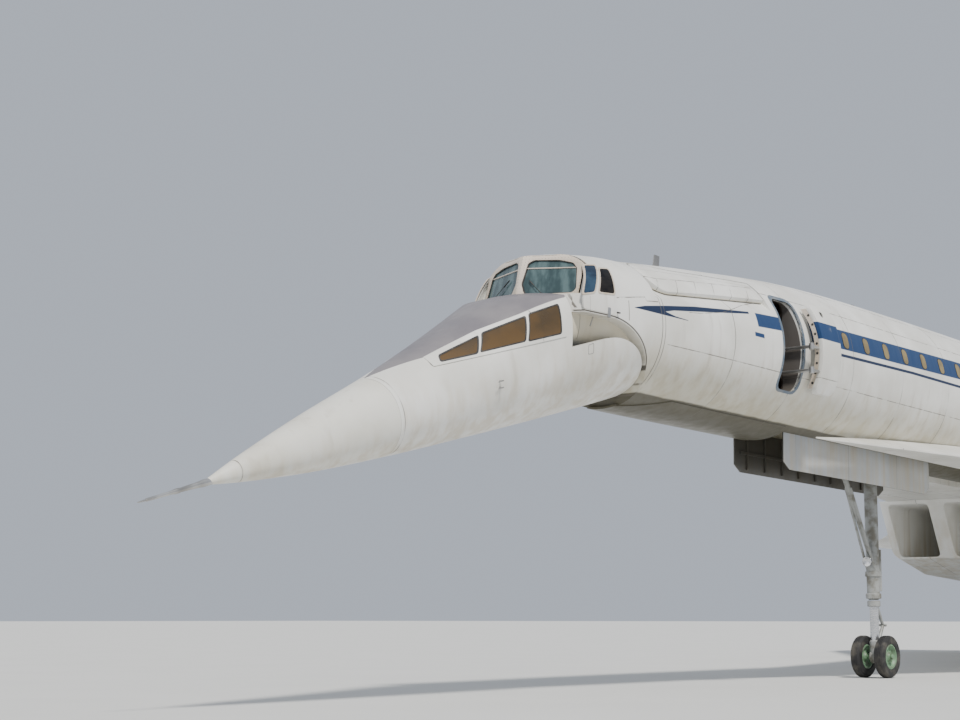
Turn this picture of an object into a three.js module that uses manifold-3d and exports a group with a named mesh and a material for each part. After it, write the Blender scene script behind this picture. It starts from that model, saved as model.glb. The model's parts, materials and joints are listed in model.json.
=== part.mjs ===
// Supersonic narrow body airliner at half size: drooping nose down, front door open, on its wheels.
// Stations run aft from the raised nose tip along X, port is -Y and height is Z, all in real metres
// until they are multiplied by M. The airframe is built level, then pitched on its landing gear.
import * as THREE from 'three';
import { mergeVertices } from 'three/addons/utils/BufferGeometryUtils.js';
import Module from 'manifold-3d';

const wasm = await Module();
wasm.setup();

const M = 500; // one real metre in millimetres of this half-size model
const GAP = 0.0006 * M; // joint line between touching pieces
const SIDES = 36; // facets round the hull

const PITCH = THREE.MathUtils.degToRad(1.5); // nose-up stance on the gear
const AXIS_HEIGHT = 6.9; // cabin axis above the ground at the front door
const DOOR = { s: 14.3, width: 0.75, top: 0.81, sill: -1.04, aft: 0.95, out: 0.34 };
const SECTIONS = {
  cockpit: { front: 7.3, rear: 14.1, rings: 8 },
  forward: { front: 14.1, rear: 23.6, rings: 9 },
  cabin: { front: 23.6, rear: 43.0, rings: 4 },
  tail: { front: 43.0, rear: 64.4, rings: 12 },
};

const DROOP = THREE.MathUtils.degToRad(17);
const HINGE = { s: 9.6, h: -1.05 }; // droop axis of the nose
const RADOME_END = 4.0;
const NOSE_SILL = -0.585; // top edge of the nose behind its windows, nose raised
const NOSE_ROUND = { s: 8.66, h: -1.94, r: 1.355 }; // round rear end of the nose, nose raised
const NOSE_EDGE = 0.24; // the nose ends this far ahead of the windscreen, nose raised
const NOSE_ROOF = { r: 3.9, h: 0.46, sides: 120 }; // arch over the top of the raised nose
const CLEAR = 0.03; // running gap all round the nose
// Share of the droop at which the nose is cut out of the cockpit, and the gap round its cheeks there.
const NOSE_TRAVEL = [{ share: 0, gap: 0.1 }, { share: 0.5, gap: CLEAR }, { share: 1, gap: CLEAR }];
const CAVITY = 2.14; // hollow in the nose, a radius about the droop axis
const WALL = 0.12; // skin round that hollow
const NECK = { front: 2.05, inset: 0.22, low: -1.32, ahead: 0.05 }; // fixed neck inside the nose
const ARM_CLEAR = 0.014;
const ARM = { y: 0.55, width: 0.1, high: 0.12, end: 0.2, shaft: 0.1, front: 7.1 };

const TIP_H = -1.23; // height of the nose tip
const BOOM = { length: 1.25, r: 0.05, mid: 0.03, point: 0.012, step: 0.5, socket: 0.35 };
const SCREEN = { base: -0.02, top: 0.56, s: 7.64, rake: 0.3, sweep: 0.41, half: 1.06, glass: 0.04 };

const VISOR_BAND = [[4.86, -0.34], [4.86, -0.2], [5.94, 0.02], [7.02, 0.16], [7.78, 0.24], [7.64, -0.38]];

const WING = { sHinge: 51.6, under: -1.78 };
const WING_RIBS = [
  { y: 1.0, lead: 16.6, trail: 54.4, thick: 0.86 },
  { y: 2.6, lead: 23.6, trail: 54.3, thick: 0.8 },
  { y: 4.4, lead: 30.6, trail: 54.2, thick: 0.7 },
  { y: 6.2, lead: 36.3, trail: 54.1, thick: 0.56 },
  { y: 9.0, lead: 41.0, trail: 54.0, thick: 0.42 },
  { y: 12.0, lead: 45.8, trail: 53.9, thick: 0.3 },
  { y: 14.0, lead: 49.0, trail: 53.8, thick: 0.2 },
  { y: 14.4, lead: 50.6, trail: 53.7, thick: 0.12 },
];
const ELEVONS = { first: 4.95, last: 14.0, count: 4, gap: 0.02, trail: 53.9, hinge: -1.66, r: 0.115 };

const NACELLE = { y: 3.03, half: 1.7, front: 31.0, rear: 56.2, low: -3.9, duct: 0.85, ductHalf: 0.62 };
const ENGINE = { front: 47.6, rear: 53.2, r: 0.56, h: -2.86, nozzleEnd: 57.4, bore: 0.66 };

const FIN = { thick: 0.62, root: 1.45, tip: 8.35, lead: [46.8, 59.6], hinge: 60.7, trail: 62.3 };
const RUDDER = { pin: 0.05, lug: 0.06, clear: 0.012, ends: [1.74, 4.55, 8.16] };
const CANARD = {
  s: 10.6, tilt: THREE.MathUtils.degToRad(40), rise: THREE.MathUtils.degToRad(5.1), out: 1.27,
  length: 3.4, root: 0.5, flare: THREE.MathUtils.degToRad(53), shoulder: 0.75, tip: 0.27,
  seat: 0.01, clear: 0.03, end: 0.06, pin: 0.1, pinHigh: 0.08,
};

const NOSE_BAY = { front: 15.9, rear: 22.9, half: 0.62, roof: -1.05 };
const BAY_DOOR = { thick: 0.04, low: -2.45, high: -1.54, bracket: 0.12, brackets: [0.4, 3.4, 6.4] };
const NOSE_GEAR = {
  s: 21.0, tyre: 0.475, hang: 0.22, leg: 0.15, strut: 0.12, hub: 0.17, hubHalf: 0.1, axle: 0.07,
  split: 1.75, play: 0.015, shaft: 0.1, rise: 0.55, brace: { ahead: 1.9, low: 2.6, r: 0.06 },
};
const MAIN_BAY = { front: 39.4, rear: 42.8, half: 0.2, roof: -2.2 };
const MAIN_GEAR = {
  s: 42.0, tyre: 0.475, hang: 0.24, tube: 0.12, leg: 0.17, brace: { ahead: 1.2, low: 1.25, r: 0.07 },
  spread: 0.62, beam: { half: 0.1, past: 0.16, under: 0.15, over: 0.17 }, axle: 0.08,
};

const HULL = [
  { s: 0.0, top: -1.2, low: -1.26, half: 0.03 },
  { s: 0.8, top: -0.98, low: -1.38, half: 0.2 },
  { s: 2.2, top: -0.65, low: -1.53, half: 0.44 },
  { s: 4.0, top: -0.28, low: -1.64, half: 0.68 },
  { s: 5.5, top: 0.08, low: -1.7, half: 0.9 },
  { s: 7.0, top: 0.44, low: -1.75, half: 1.1 },
  { s: 8.5, top: 0.72, low: -1.79, half: 1.28 },
  { s: 10.2, top: 0.95, low: -1.82, half: 1.42 },
  { s: 12.6, top: 1.22, low: -1.83, half: 1.54 },
  { s: 16.0, top: 1.53, low: -1.83, half: 1.6 },
  { s: 20.0, top: 1.64, low: -1.83, half: 1.6 },
  { s: 26.0, top: 1.67, low: -1.83, half: 1.6 },
  { s: 44.0, top: 1.67, low: -1.83, half: 1.6 },
  { s: 50.0, top: 1.62, low: -1.66, half: 1.5 },
  { s: 56.0, top: 1.38, low: -1.05, half: 1.12 },
  { s: 60.5, top: 1.06, low: -0.4, half: 0.7 },
  { s: 64.4, top: 0.6, low: 0.28, half: 0.16 },
];

// Power of the curve over the sides of a section: 2 is an ellipse, more is a squarer shoulder.
const SHOULDER = [
  { s: 5.2, power: 2.0 },
  { s: 6.6, power: 2.4 },
  { s: 8.1, power: 3.3 },
  { s: 9.0, power: 2.9 },
  { s: 10.1, power: 2.0 },
];

const COLOURS = {
  white: { color: 0xe4e3da, roughness: 0.5, metalness: 0.0 },
  radome: { color: 0xd9d6c8, roughness: 0.62, metalness: 0.0 },
  pane: { color: 0x8a6a4a, roughness: 0.35, metalness: 0.0 },
  glass: { color: 0x3c5a63, roughness: 0.1, metalness: 0.0 },
  steel: { color: 0x8b8f92, roughness: 0.4, metalness: 0.9 },
  nozzle: { color: 0x5c564f, roughness: 0.45, metalness: 0.9 },
  gear: { color: 0xb6b9b8, roughness: 0.45, metalness: 0.3 },
  tyre: { color: 0x1e1e1f, roughness: 0.9, metalness: 0.0 },
  engine: { color: 0x6d6f70, roughness: 0.5, metalness: 0.9 },
};

const fromGeometry = (geometry) => {
  const bare = geometry.clone();
  bare.deleteAttribute('normal');
  bare.deleteAttribute('uv');
  const merged = mergeVertices(bare, 1e-3);
  const vertProperties = new Float32Array(merged.attributes.position.array);
  const triVerts = new Uint32Array(merged.index.array);
  const solid = new wasm.Manifold(new wasm.Mesh({ numProp: 3, vertProperties, triVerts }));
  if (solid.volume() > 0) return solid;
  triVerts.reverse();
  return new wasm.Manifold(new wasm.Mesh({ numProp: 3, vertProperties, triVerts }));
};

const toGeometry = (body) => {
  const mesh = body.getMesh();
  const geometry = new THREE.BufferGeometry();
  geometry.setAttribute('position', new THREE.BufferAttribute(mesh.vertProperties, 3));
  geometry.setIndex(new THREE.BufferAttribute(mesh.triVerts, 1));
  geometry.computeVertexNormals();
  return geometry;
};

const piece = (name, colour, body) => {
  const mesh = new THREE.Mesh(toGeometry(body), new THREE.MeshStandardMaterial(COLOURS[colour]));
  mesh.name = name;
  return mesh;
};

// A value between the rows of a table, eased with the slopes of the neighbouring rows.
const tableValue = (rows, at, column) => {
  const last = rows.length - 1;
  let i = rows.findIndex((row) => row.s > at) - 1;
  if (i < 0) i = at <= rows[0].s ? 0 : last - 1;
  const slope = (j) => {
    const a = rows[Math.max(j - 1, 0)];
    const b = rows[Math.min(j + 1, last)];
    return (b[column] - a[column]) / (b.s - a.s);
  };
  const span = rows[i + 1].s - rows[i].s;
  const t = THREE.MathUtils.clamp((at - rows[i].s) / span, 0, 1);
  const rise = rows[i + 1][column] - rows[i][column];
  const ease = (1 - t) * (slope(i) * span - rise) - t * (slope(i + 1) * span - rise);
  return rows[i][column] + t * rise + t * (1 - t) * ease;
};

// A closed body skinned over rings: ring(u, angle, radius) gives a point in real metres.
const skin = (rings, sides, ring) => {
  const geometry = new THREE.CylinderGeometry(1, 1, 1, sides, rings - 1);
  const position = geometry.attributes.position;
  for (let i = 0; i < position.count; i += 1) {
    const radius = Math.hypot(position.getX(i), position.getZ(i));
    const angle = Math.atan2(position.getX(i), position.getZ(i));
    const [x, y, z] = ring(0.5 - position.getY(i), angle, radius);
    position.setXYZ(i, x * M, y * M, z * M);
  }
  return fromGeometry(geometry);
};

const hullSection = (s, inset) => {
  const top = tableValue(HULL, s, 'top') - inset;
  const low = tableValue(HULL, s, 'low') + inset;
  return { mid: (top + low) / 2, high: (top - low) / 2, half: tableValue(HULL, s, 'half') - inset };
};

// The hull between two stations, with its shoulders; a negative inset makes it fatter.
const hull = (front, rear, rings, inset = 0) => skin(rings, SIDES, (u, angle, radius) => {
  const s = front + u * (rear - front);
  const section = hullSection(s, inset);
  const power = Math.cos(angle) > 0 ? 2 / tableValue(SHOULDER, s, 'power') : 1;
  const squared = (value) => Math.sign(value) * Math.abs(value) ** power;
  const y = radius * section.half * squared(Math.sin(angle));
  return [s, y, section.mid + radius * section.high * squared(Math.cos(angle))];
});

const fuselage = ({ front, rear, rings }, inset = 0) => hull(front, rear - GAP / M, rings, inset);

// What the fuselage takes out of a wing or fin that is seated on it.
const fuselageRoom = () => joined([SECTIONS.forward, SECTIONS.cabin, SECTIONS.tail].map(
  (section) => hull(section.front - GAP / M, section.rear, section.rings, -GAP / M)));

const outline = (points) => new THREE.Shape(points.map(([a, b]) => new THREE.Vector2(a * M, b * M)));

const extruded = (shape, depth) => new THREE.ExtrudeGeometry(shape, {
  depth: depth * M, bevelEnabled: false, curveSegments: 10,
});

// A side outline in station and height, extruded across from y0 to y1.
const sideSlab = (shape, y0, y1) => {
  const geometry = extruded(shape, y1 - y0);
  geometry.rotateX(Math.PI / 2);
  geometry.translate(0, y1 * M, 0);
  return geometry;
};

const box = (s0, s1, y0, y1, h0, h1) => {
  const geometry = new THREE.BoxGeometry((s1 - s0) * M, (y1 - y0) * M, (h1 - h0) * M);
  geometry.translate(((s0 + s1) / 2) * M, ((y0 + y1) / 2) * M, ((h0 + h1) / 2) * M);
  return fromGeometry(geometry);
};

const bar = (from, to, r0, r1 = r0, sides = 16) => {
  const a = new THREE.Vector3(...from).multiplyScalar(M);
  const b = new THREE.Vector3(...to).multiplyScalar(M);
  const along = b.clone().sub(a);
  const geometry = new THREE.CylinderGeometry(r1 * M, r0 * M, along.length(), sides);
  geometry.translate(0, along.length() / 2, 0);
  geometry.applyQuaternion(new THREE.Quaternion().setFromUnitVectors(
    new THREE.Vector3(0, 1, 0), along.normalize()));
  geometry.translate(a.x, a.y, a.z);
  return fromGeometry(geometry);
};

// A turned body on an axis along Y; the profile is [radius, y] from one end to the other.
const turned = (s, y, h, profile, sides) => {
  const points = profile.map(([r, at]) => new THREE.Vector2(r * M, at * M));
  const geometry = new THREE.LatheGeometry(points, sides);
  geometry.translate(s * M, y * M, h * M);
  return fromGeometry(geometry);
};

const joined = (bodies) => bodies.reduce((all, body) => all.add(body));

const turnedAbout = (geometry, pivot, angle) => {
  const copy = geometry.clone();
  copy.translate(-pivot.s * M, 0, -pivot.h * M);
  copy.rotateY(angle);
  copy.translate(pivot.s * M, 0, pivot.h * M);
  return fromGeometry(copy);
};

// Bore that lets a round shaft of the same number of sides turn inside it.
const boreFor = (r, sides = 16) => r / Math.cos(Math.PI / sides) + GAP / M;

// Where an airframe point stands over the ground, in real metres.
const level = (s, h) => ({
  x: s * Math.cos(PITCH) + h * Math.sin(PITCH) + DOOR.s * (1 - Math.cos(PITCH)),
  z: h * Math.cos(PITCH) + (DOOR.s - s) * Math.sin(PITCH) + AXIS_HEIGHT,
});

// A slab under the windscreen's rake, swept back on both sides of the centre line.
const screenSlab = (shape, half) => joined([-1, 1].map((side) => {
  const geometry = sideSlab(shape, side < 0 ? -half : 0, side < 0 ? 0 : half);
  const position = geometry.attributes.position;
  for (let i = 0; i < position.count; i += 1) {
    position.setX(i, position.getX(i) + SCREEN.sweep * Math.abs(position.getY(i)));
  }
  return fromGeometry(geometry);
}));

const screenAt = (h) => SCREEN.s + (h - SCREEN.base) * SCREEN.rake;

// Everything ahead of the windscreen's plane, or of one that stands before it by a distance.
const aheadOfScreen = (before, low, high) => screenSlab(outline([[1, low], [screenAt(low) - before, low],
  [screenAt(high) - before, high], [1, high]]), 2.2);

// The room of the raised droop nose: cheeks with a round rear end, and a top that ends along the
// windscreen. The cheeks and the top are grown by gaps of their own.
const noseRoom = (cheekGap, edgeGap) => {
  const shape = new THREE.Shape();
  const { s, h, r } = NOSE_ROUND;
  const sill = NOSE_SILL + cheekGap;
  shape.moveTo(RADOME_END * M, -4 * M);
  shape.lineTo(RADOME_END * M, sill * M);
  shape.lineTo(s * M, sill * M);
  shape.absarc(s * M, h * M, (r + cheekGap) * M, Math.PI / 2, 0, true);
  shape.lineTo((s + r + cheekGap) * M, -4 * M);
  shape.closePath();
  return fromGeometry(sideSlab(shape, -2, 2)).add(aheadOfScreen(NOSE_EDGE - edgeGap, NOSE_SILL - 0.2, 3));
};

const hingeDisc = (radius) => bar([HINGE.s, -2, HINGE.h], [HINGE.s, 2, HINGE.h], radius, radius, 48);

// Side outline of the arms that carry the nose on its hinge shaft, or of the room that they
// sweep when the nose drops by an angle.
const armOutline = (drop, grow) => {
  const shape = new THREE.Shape();
  const origin = new THREE.Vector2(HINGE.s * M, HINGE.h * M);
  const front = (ARM.front - HINGE.s) * M;
  const low = new THREE.Vector2(front, -(ARM.high + grow) * M)
    .rotateAround(new THREE.Vector2(), drop).add(origin);
  const round = (ARM.end + grow) * M;
  shape.moveTo(low.x, low.y);
  shape.lineTo(origin.x + round * Math.sin(drop), origin.y - round * Math.cos(drop));
  shape.absarc(origin.x, origin.y, round, drop - Math.PI / 2, Math.PI / 2, false);
  shape.lineTo(origin.x + front, origin.y + (ARM.high + grow) * M);
  shape.closePath();
  return shape;
};

const armSlabs = (drop, grow) => [-ARM.y - ARM.width, ARM.y].map(
  (y) => sideSlab(armOutline(drop, grow), y - grow, y + ARM.width + grow));

const droopNose = () => {
  const hollow = hingeDisc(CAVITY).intersect(
    hull(6.6, 11.5, 6, WALL).add(box(7, 11, -0.95, 0.95, 0, 2)));
  const bore = boreFor(ARM.shaft, 20);
  const { r, h, sides } = NOSE_ROOF;
  const roof = bar([RADOME_END - 1, 0, h - r], [11, 0, h - r], r, r, sides);
  return hull(RADOME_END, 10.2, 7).intersect(noseRoom(0, 0)).intersect(roof).subtract(hollow)
    .add(joined(armSlabs(0, 0).map(fromGeometry)))
    .subtract(bar([HINGE.s, -1, HINGE.h], [HINGE.s, 1, HINGE.h], bore, bore, 20));
};

const radome = () => hull(0, RADOME_END - GAP / M, 6)
  .subtract(bar([-1, 0, TIP_H], [BOOM.socket, 0, TIP_H], boreFor(BOOM.r)));

const boom = () => bar([-BOOM.length, 0, TIP_H], [-BOOM.step, 0, TIP_H], BOOM.point, BOOM.mid)
  .add(bar([-BOOM.step, 0, TIP_H], [BOOM.socket - GAP / M, 0, TIP_H], BOOM.mid, BOOM.r));

// Band of side windows in the droop nose, standing a little proud of its skin.
const visorBand = (side) => {
  const band = outline(VISOR_BAND);
  const slab = fromGeometry(sideSlab(band, side < 0 ? -2 : 0, side < 0 ? 0 : 2));
  return hull(RADOME_END, 10.2, 7, -0.02).subtract(hull(RADOME_END, 10.2, 7, -GAP / M))
    .intersect(slab).intersect(noseRoom(0, -0.04));
};

// The canard's own frame: X runs aft along the blade and Z out of the hull, at its pivot.
const canardPlace = (side) => {
  const section = hullSection(CANARD.s, 0);
  const roll = new THREE.Matrix4().makeRotationX(-side * CANARD.tilt);
  const seat = new THREE.Vector3(0, 0, CANARD.out).applyMatrix4(roll);
  return new THREE.Matrix4().makeTranslation(CANARD.s * M, seat.y * M, (seat.z + section.mid) * M)
    .multiply(roll).multiply(new THREE.Matrix4().makeRotationY(-CANARD.rise));
};

// A plan in the canard's frame, extruded from its seat; inboard is +1 in the plan's second value.
const canardSlab = (side, shape, low, high) => {
  const geometry = extruded(shape, high - low);
  geometry.translate(0, 0, low * M);
  geometry.scale(1, -side, 1);
  geometry.applyMatrix4(canardPlace(side));
  return fromGeometry(geometry);
};

// The stowed blade tapers aft from its round root, and its top is the hull's own curve.
const canardBlade = (side) => {
  const { length, root, flare, shoulder, tip, seat, pin, pinHigh } = CANARD;
  const shape = new THREE.Shape();
  shape.moveTo(length * M, tip * M);
  shape.lineTo(shoulder * M, tip * M);
  shape.absarc(0, 0, root * M, flare, Math.PI * 1.5, false);
  shape.lineTo(length * M, -tip * M);
  shape.closePath();
  const bore = new THREE.Shape().absarc(0, 0, boreFor(pin, 20) * M, 0, Math.PI * 2, false);
  return hull(9.6, 14.6, 7).intersect(canardSlab(side, shape, seat, 1))
    .subtract(canardSlab(side, bore, -0.1, pinHigh + seat));
};

// The blade's bed, open outboard so that the blade can swing out.
const canardRecess = (side) => {
  const { length, root, flare, shoulder, tip, clear, end } = CANARD;
  const shape = new THREE.Shape();
  shape.moveTo((length + end) * M, (tip + clear) * M);
  shape.lineTo((shoulder + clear) * M, (tip + clear) * M);
  shape.absarc(0, 0, (root + clear) * M, flare, Math.PI, false);
  shape.lineTo(-(root + clear) * M, -3 * M);
  shape.lineTo((length + end) * M, -3 * M);
  shape.closePath();
  return canardSlab(side, shape, 0, 1);
};

const canardPin = (side) => canardSlab(side,
  new THREE.Shape().absarc(0, 0, CANARD.pin * M, 0, Math.PI * 2, false), -0.1, CANARD.pinHigh);

const cockpit = () => {
  let shell = fuselage(SECTIONS.cockpit);
  for (const { share, gap } of NOSE_TRAVEL) {
    shell = shell.subtract(turnedAbout(toGeometry(noseRoom(gap, CLEAR)), HINGE, -DROOP * share));
  }
  const neck = hull(7.3, 11, 5, NECK.inset).intersect(hingeDisc(NECK.front))
    .intersect(box(7, 11, -2, 2, NECK.low, SCREEN.base - 0.01))
    .subtract(aheadOfScreen(NECK.ahead, -3, 1));
  shell = shell.add(neck).subtract(aheadOfScreen(0, SCREEN.base, SCREEN.top));
  shell = shell.subtract(joined(armSlabs(DROOP, ARM_CLEAR).map(fromGeometry)));
  const shaft = ARM.y + ARM.width + 0.1;
  shell = shell.add(bar([HINGE.s, -shaft, HINGE.h], [HINGE.s, shaft, HINGE.h], ARM.shaft, ARM.shaft, 20));
  for (const side of [-1, 1]) {
    shell = shell.subtract(canardRecess(side)).add(canardPin(side));
  }
  return shell;
};

const windscreen = () => {
  const { base, top, glass, half } = SCREEN;
  const edge = GAP / M;
  const pane = outline([[screenAt(base) - glass, base + edge], [screenAt(base) - edge, base + edge],
    [screenAt(top) - edge, top - edge], [screenAt(top) - glass, top - edge]]);
  return screenSlab(pane, half).intersect(hull(7.3, 9, 3, 0.02));
};

const doorway = (s0, s1, y0, y1) => box(s0, s1, y0, y1, DOOR.sill, DOOR.top);

const forwardFuselage = () => fuselage(SECTIONS.forward)
  .subtract(doorway(DOOR.s, DOOR.s + DOOR.width, -3, 0))
  .subtract(box(DOOR.s - 0.1, DOOR.s + DOOR.width + 0.5, -1.05, 0.6, DOOR.sill, DOOR.top + 0.05))
  .subtract(box(NOSE_BAY.front, NOSE_BAY.rear, -NOSE_BAY.half, NOSE_BAY.half, -3, NOSE_BAY.roof));

const passengerDoor = () => {
  const edge = GAP / M;
  const panel = hull(13, 17, 3).subtract(hull(12.9, 17.1, 3, 0.09))
    .intersect(doorway(DOOR.s + edge, DOOR.s + DOOR.width, -3, -0.6));
  const geometry = toGeometry(panel);
  geometry.translate(DOOR.aft * M, -DOOR.out * M, 0);
  const jamb = DOOR.s + DOOR.width;
  const arms = [-0.6, 0.35].map((h) => box(jamb - 0.12, DOOR.s + DOOR.aft + 0.12, -1.9, -1.75, h, h + 0.08)
    .add(box(jamb - 0.12, jamb - edge, -1.9, -1.1, h, h + 0.08)));
  return joined([fromGeometry(geometry), ...arms]);
};

// A bay door hangs open under the wall of its bay, on three brackets.
const bayDoor = (side) => {
  const { thick, low, high, bracket, brackets } = BAY_DOOR;
  const wall = NOSE_BAY.half - GAP / M;
  const inner = wall - thick - 0.01;
  const slab = (s0, s1, y0, y1, h0, h1) => box(s0, s1, Math.min(side * y0, side * y1),
    Math.max(side * y0, side * y1), h0, h1);
  return joined([slab(NOSE_BAY.front + 0.05, NOSE_BAY.rear - 0.05, inner, inner + thick, low, high),
    ...brackets.map((at) => slab(NOSE_BAY.front + at, NOSE_BAY.front + at + bracket, inner, wall,
      high - bracket, high - 0.02))]);
};

// A flat-bottomed blade skinned over a table of ribs, from rib to rib along the span.
const wing = (side) => skin(WING_RIBS.length, 20, (u, angle, radius) => {
  const rib = WING_RIBS[Math.round(u * (WING_RIBS.length - 1))];
  const along = (1 - Math.cos(angle)) / 2;
  const rise = Math.sin(angle) > 1e-6 ? 4 * along * (1 - along) * rib.thick : 0;
  const [midS, midH] = [(rib.lead + rib.trail) / 2, WING.under + rib.thick / 3];
  const s = rib.lead + along * (rib.trail - rib.lead);
  return [midS + radius * (s - midS), side * rib.y, midH + radius * (WING.under + rise - midH)];
});

const wingSlab = (s0, s1, y0, y1) => box(s0, s1, Math.min(y0, y1), Math.max(y0, y1), -3, 0);

const mainWing = (side) => {
  const { first, last, hinge } = ELEVONS;
  const cove = boreFor(ELEVONS.r, 24);
  const well = wingSlab(WING.sHinge - 0.05, 60, side * first, side * last)
    .add(bar([WING.sHinge, side * first, hinge], [WING.sHinge, side * last, hinge], cove, cove, 24));
  return wing(side).subtract(well).subtract(fuselageRoom());
};

const elevon = (side, index) => {
  const { hinge, r } = ELEVONS;
  const width = (ELEVONS.last - ELEVONS.first) / ELEVONS.count;
  const y0 = side * (ELEVONS.first + index * width + ELEVONS.gap / 2);
  const y1 = side * (ELEVONS.first + (index + 1) * width - ELEVONS.gap / 2);
  const [low, high] = [Math.min(y0, y1), Math.max(y0, y1)];
  const blade = outline([[WING.sHinge, WING.under], [ELEVONS.trail, WING.under + 0.03],
    [ELEVONS.trail, WING.under + 0.05], [WING.sHinge, WING.under + 0.235]]);
  return fromGeometry(sideSlab(blade, low, high))
    .add(bar([WING.sHinge, low, hinge], [WING.sHinge, high, hinge], r, r, 24));
};

const ductSides = [-1, 1];

const nacelle = (side) => {
  const { y, half, front, rear, low, duct, ductHalf } = NACELLE;
  const top = WING.under - GAP / M;
  const shell = outline([[front, top], [front + 0.9, low + 0.5], [front + 2.6, low + 0.12], [front + 6, low],
    [52, low], [rear, low + 0.35], [rear, top]]);
  let body = fromGeometry(sideSlab(shell, side * y - half, side * y + half));
  for (const at of ductSides) {
    const centre = side * y + at * duct;
    body = body.subtract(box(front - 1, front + 5, centre - ductHalf, centre + ductHalf,
      low + 0.55, top - 0.1));
    body = body.subtract(bar([ENGINE.front - GAP / M, centre, ENGINE.h], [rear + 1, centre, ENGINE.h],
      ENGINE.bore + GAP / M, ENGINE.bore + GAP / M, 24));
  }
  return body.subtract(box(MAIN_BAY.front, MAIN_BAY.rear, side * y - MAIN_BAY.half, side * y + MAIN_BAY.half,
    low - 1, MAIN_BAY.roof));
};

const engineAt = (side, at) => side * NACELLE.y + at * NACELLE.duct;

const engineBlock = (y) => bar([ENGINE.front, y, ENGINE.h], [ENGINE.rear, y, ENGINE.h], ENGINE.r);

const nozzle = (y) => bar([54.4, y, ENGINE.h], [NACELLE.rear, y, ENGINE.h], ENGINE.bore, ENGINE.bore, 24)
  .add(bar([NACELLE.rear, y, ENGINE.h], [ENGINE.nozzleEnd, y, ENGINE.h], ENGINE.bore, ENGINE.bore * 0.9, 24))
  .subtract(bar([54.3, y, ENGINE.h], [58, y, ENGINE.h], ENGINE.bore * 0.84, ENGINE.bore * 0.84, 24));

// The fin and rudders share one set of ribs, taken in height order.
const finSpan = (h0, h1, leadAt, trailAt, thickAt) => skin(3, 16, (u, angle, radius) => {
  const h = h1 - u * (h1 - h0);
  const [lead, trail] = [leadAt(h), trailAt(h)];
  const along = (1 - Math.cos(angle)) / 2;
  const side = Math.abs(Math.sin(angle)) < 1e-6 ? 0 : Math.sign(angle);
  const y = side * thickAt(h, along) / 2;
  const s = lead + along * (trail - lead);
  const mid = (lead + trail) / 2;
  return [mid + radius * (s - mid), radius * y, h];
});

const finLead = (h) => THREE.MathUtils.mapLinear(h, FIN.root, FIN.tip, FIN.lead[0], FIN.lead[1]);
const finThick = (h) => THREE.MathUtils.mapLinear(h, FIN.root, FIN.tip, FIN.thick, 0.2);
const hingeThick = (h) => finThick(h) * 0.55;

// The fin carries a hinge lug under, between and over the two rudders.
const fin = () => {
  const blade = finSpan(0.6, FIN.tip, finLead, (h) => FIN.hinge - hingeThick(h) / 2 - 0.03,
    (h, along) => Math.max(finThick(h) * 4 * along * (1 - along / 1.35) * 0.74, 0.02));
  const bore = boreFor(RUDDER.pin);
  const lugs = RUDDER.ends.map((h) => box(FIN.hinge - 0.9, FIN.hinge + 0.12, -0.07, 0.07, h, h + RUDDER.lug)
    .subtract(bar([FIN.hinge, 0, h - 0.1], [FIN.hinge, 0, h + 0.2], bore)));
  return blade.subtract(fuselageRoom()).add(joined(lugs)).subtract(fuselageRoom());
};

const rudder = (index) => {
  const h0 = RUDDER.ends[index] + RUDDER.lug + RUDDER.clear;
  const h1 = RUDDER.ends[index + 1] - RUDDER.clear;
  const reach = RUDDER.clear + RUDDER.lug / 2 - 0.003;
  return finSpan(h0, h1, (h) => FIN.hinge - hingeThick(h) / 2, () => FIN.trail,
    (h, along) => hingeThick(h) * Math.sqrt(Math.min(1, 6 * along)) * Math.max(1 - along, 0.08))
    .add(bar([FIN.hinge, 0, h0 - reach], [FIN.hinge, 0, h1 + reach], RUDDER.pin));
};

const group = new THREE.Group();
const airframe = new THREE.Group();
airframe.rotation.y = PITCH;
airframe.position.set(DOOR.s * M * (1 - Math.cos(PITCH)), 0, (AXIS_HEIGHT + DOOR.s * Math.sin(PITCH)) * M);
const gear = new THREE.Group();
group.add(airframe, gear);

const noseGroup = new THREE.Group();
const droopAxis = new THREE.Vector3(HINGE.s * M, 0, HINGE.h * M);
noseGroup.rotation.y = -DROOP;
noseGroup.position.copy(droopAxis).sub(droopAxis.clone().applyEuler(noseGroup.rotation));
airframe.add(noseGroup);
noseGroup.add(piece('droop_nose', 'white', droopNose()));
noseGroup.add(piece('radome', 'radome', radome()));
noseGroup.add(piece('pitot_boom', 'steel', boom()));

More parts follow.
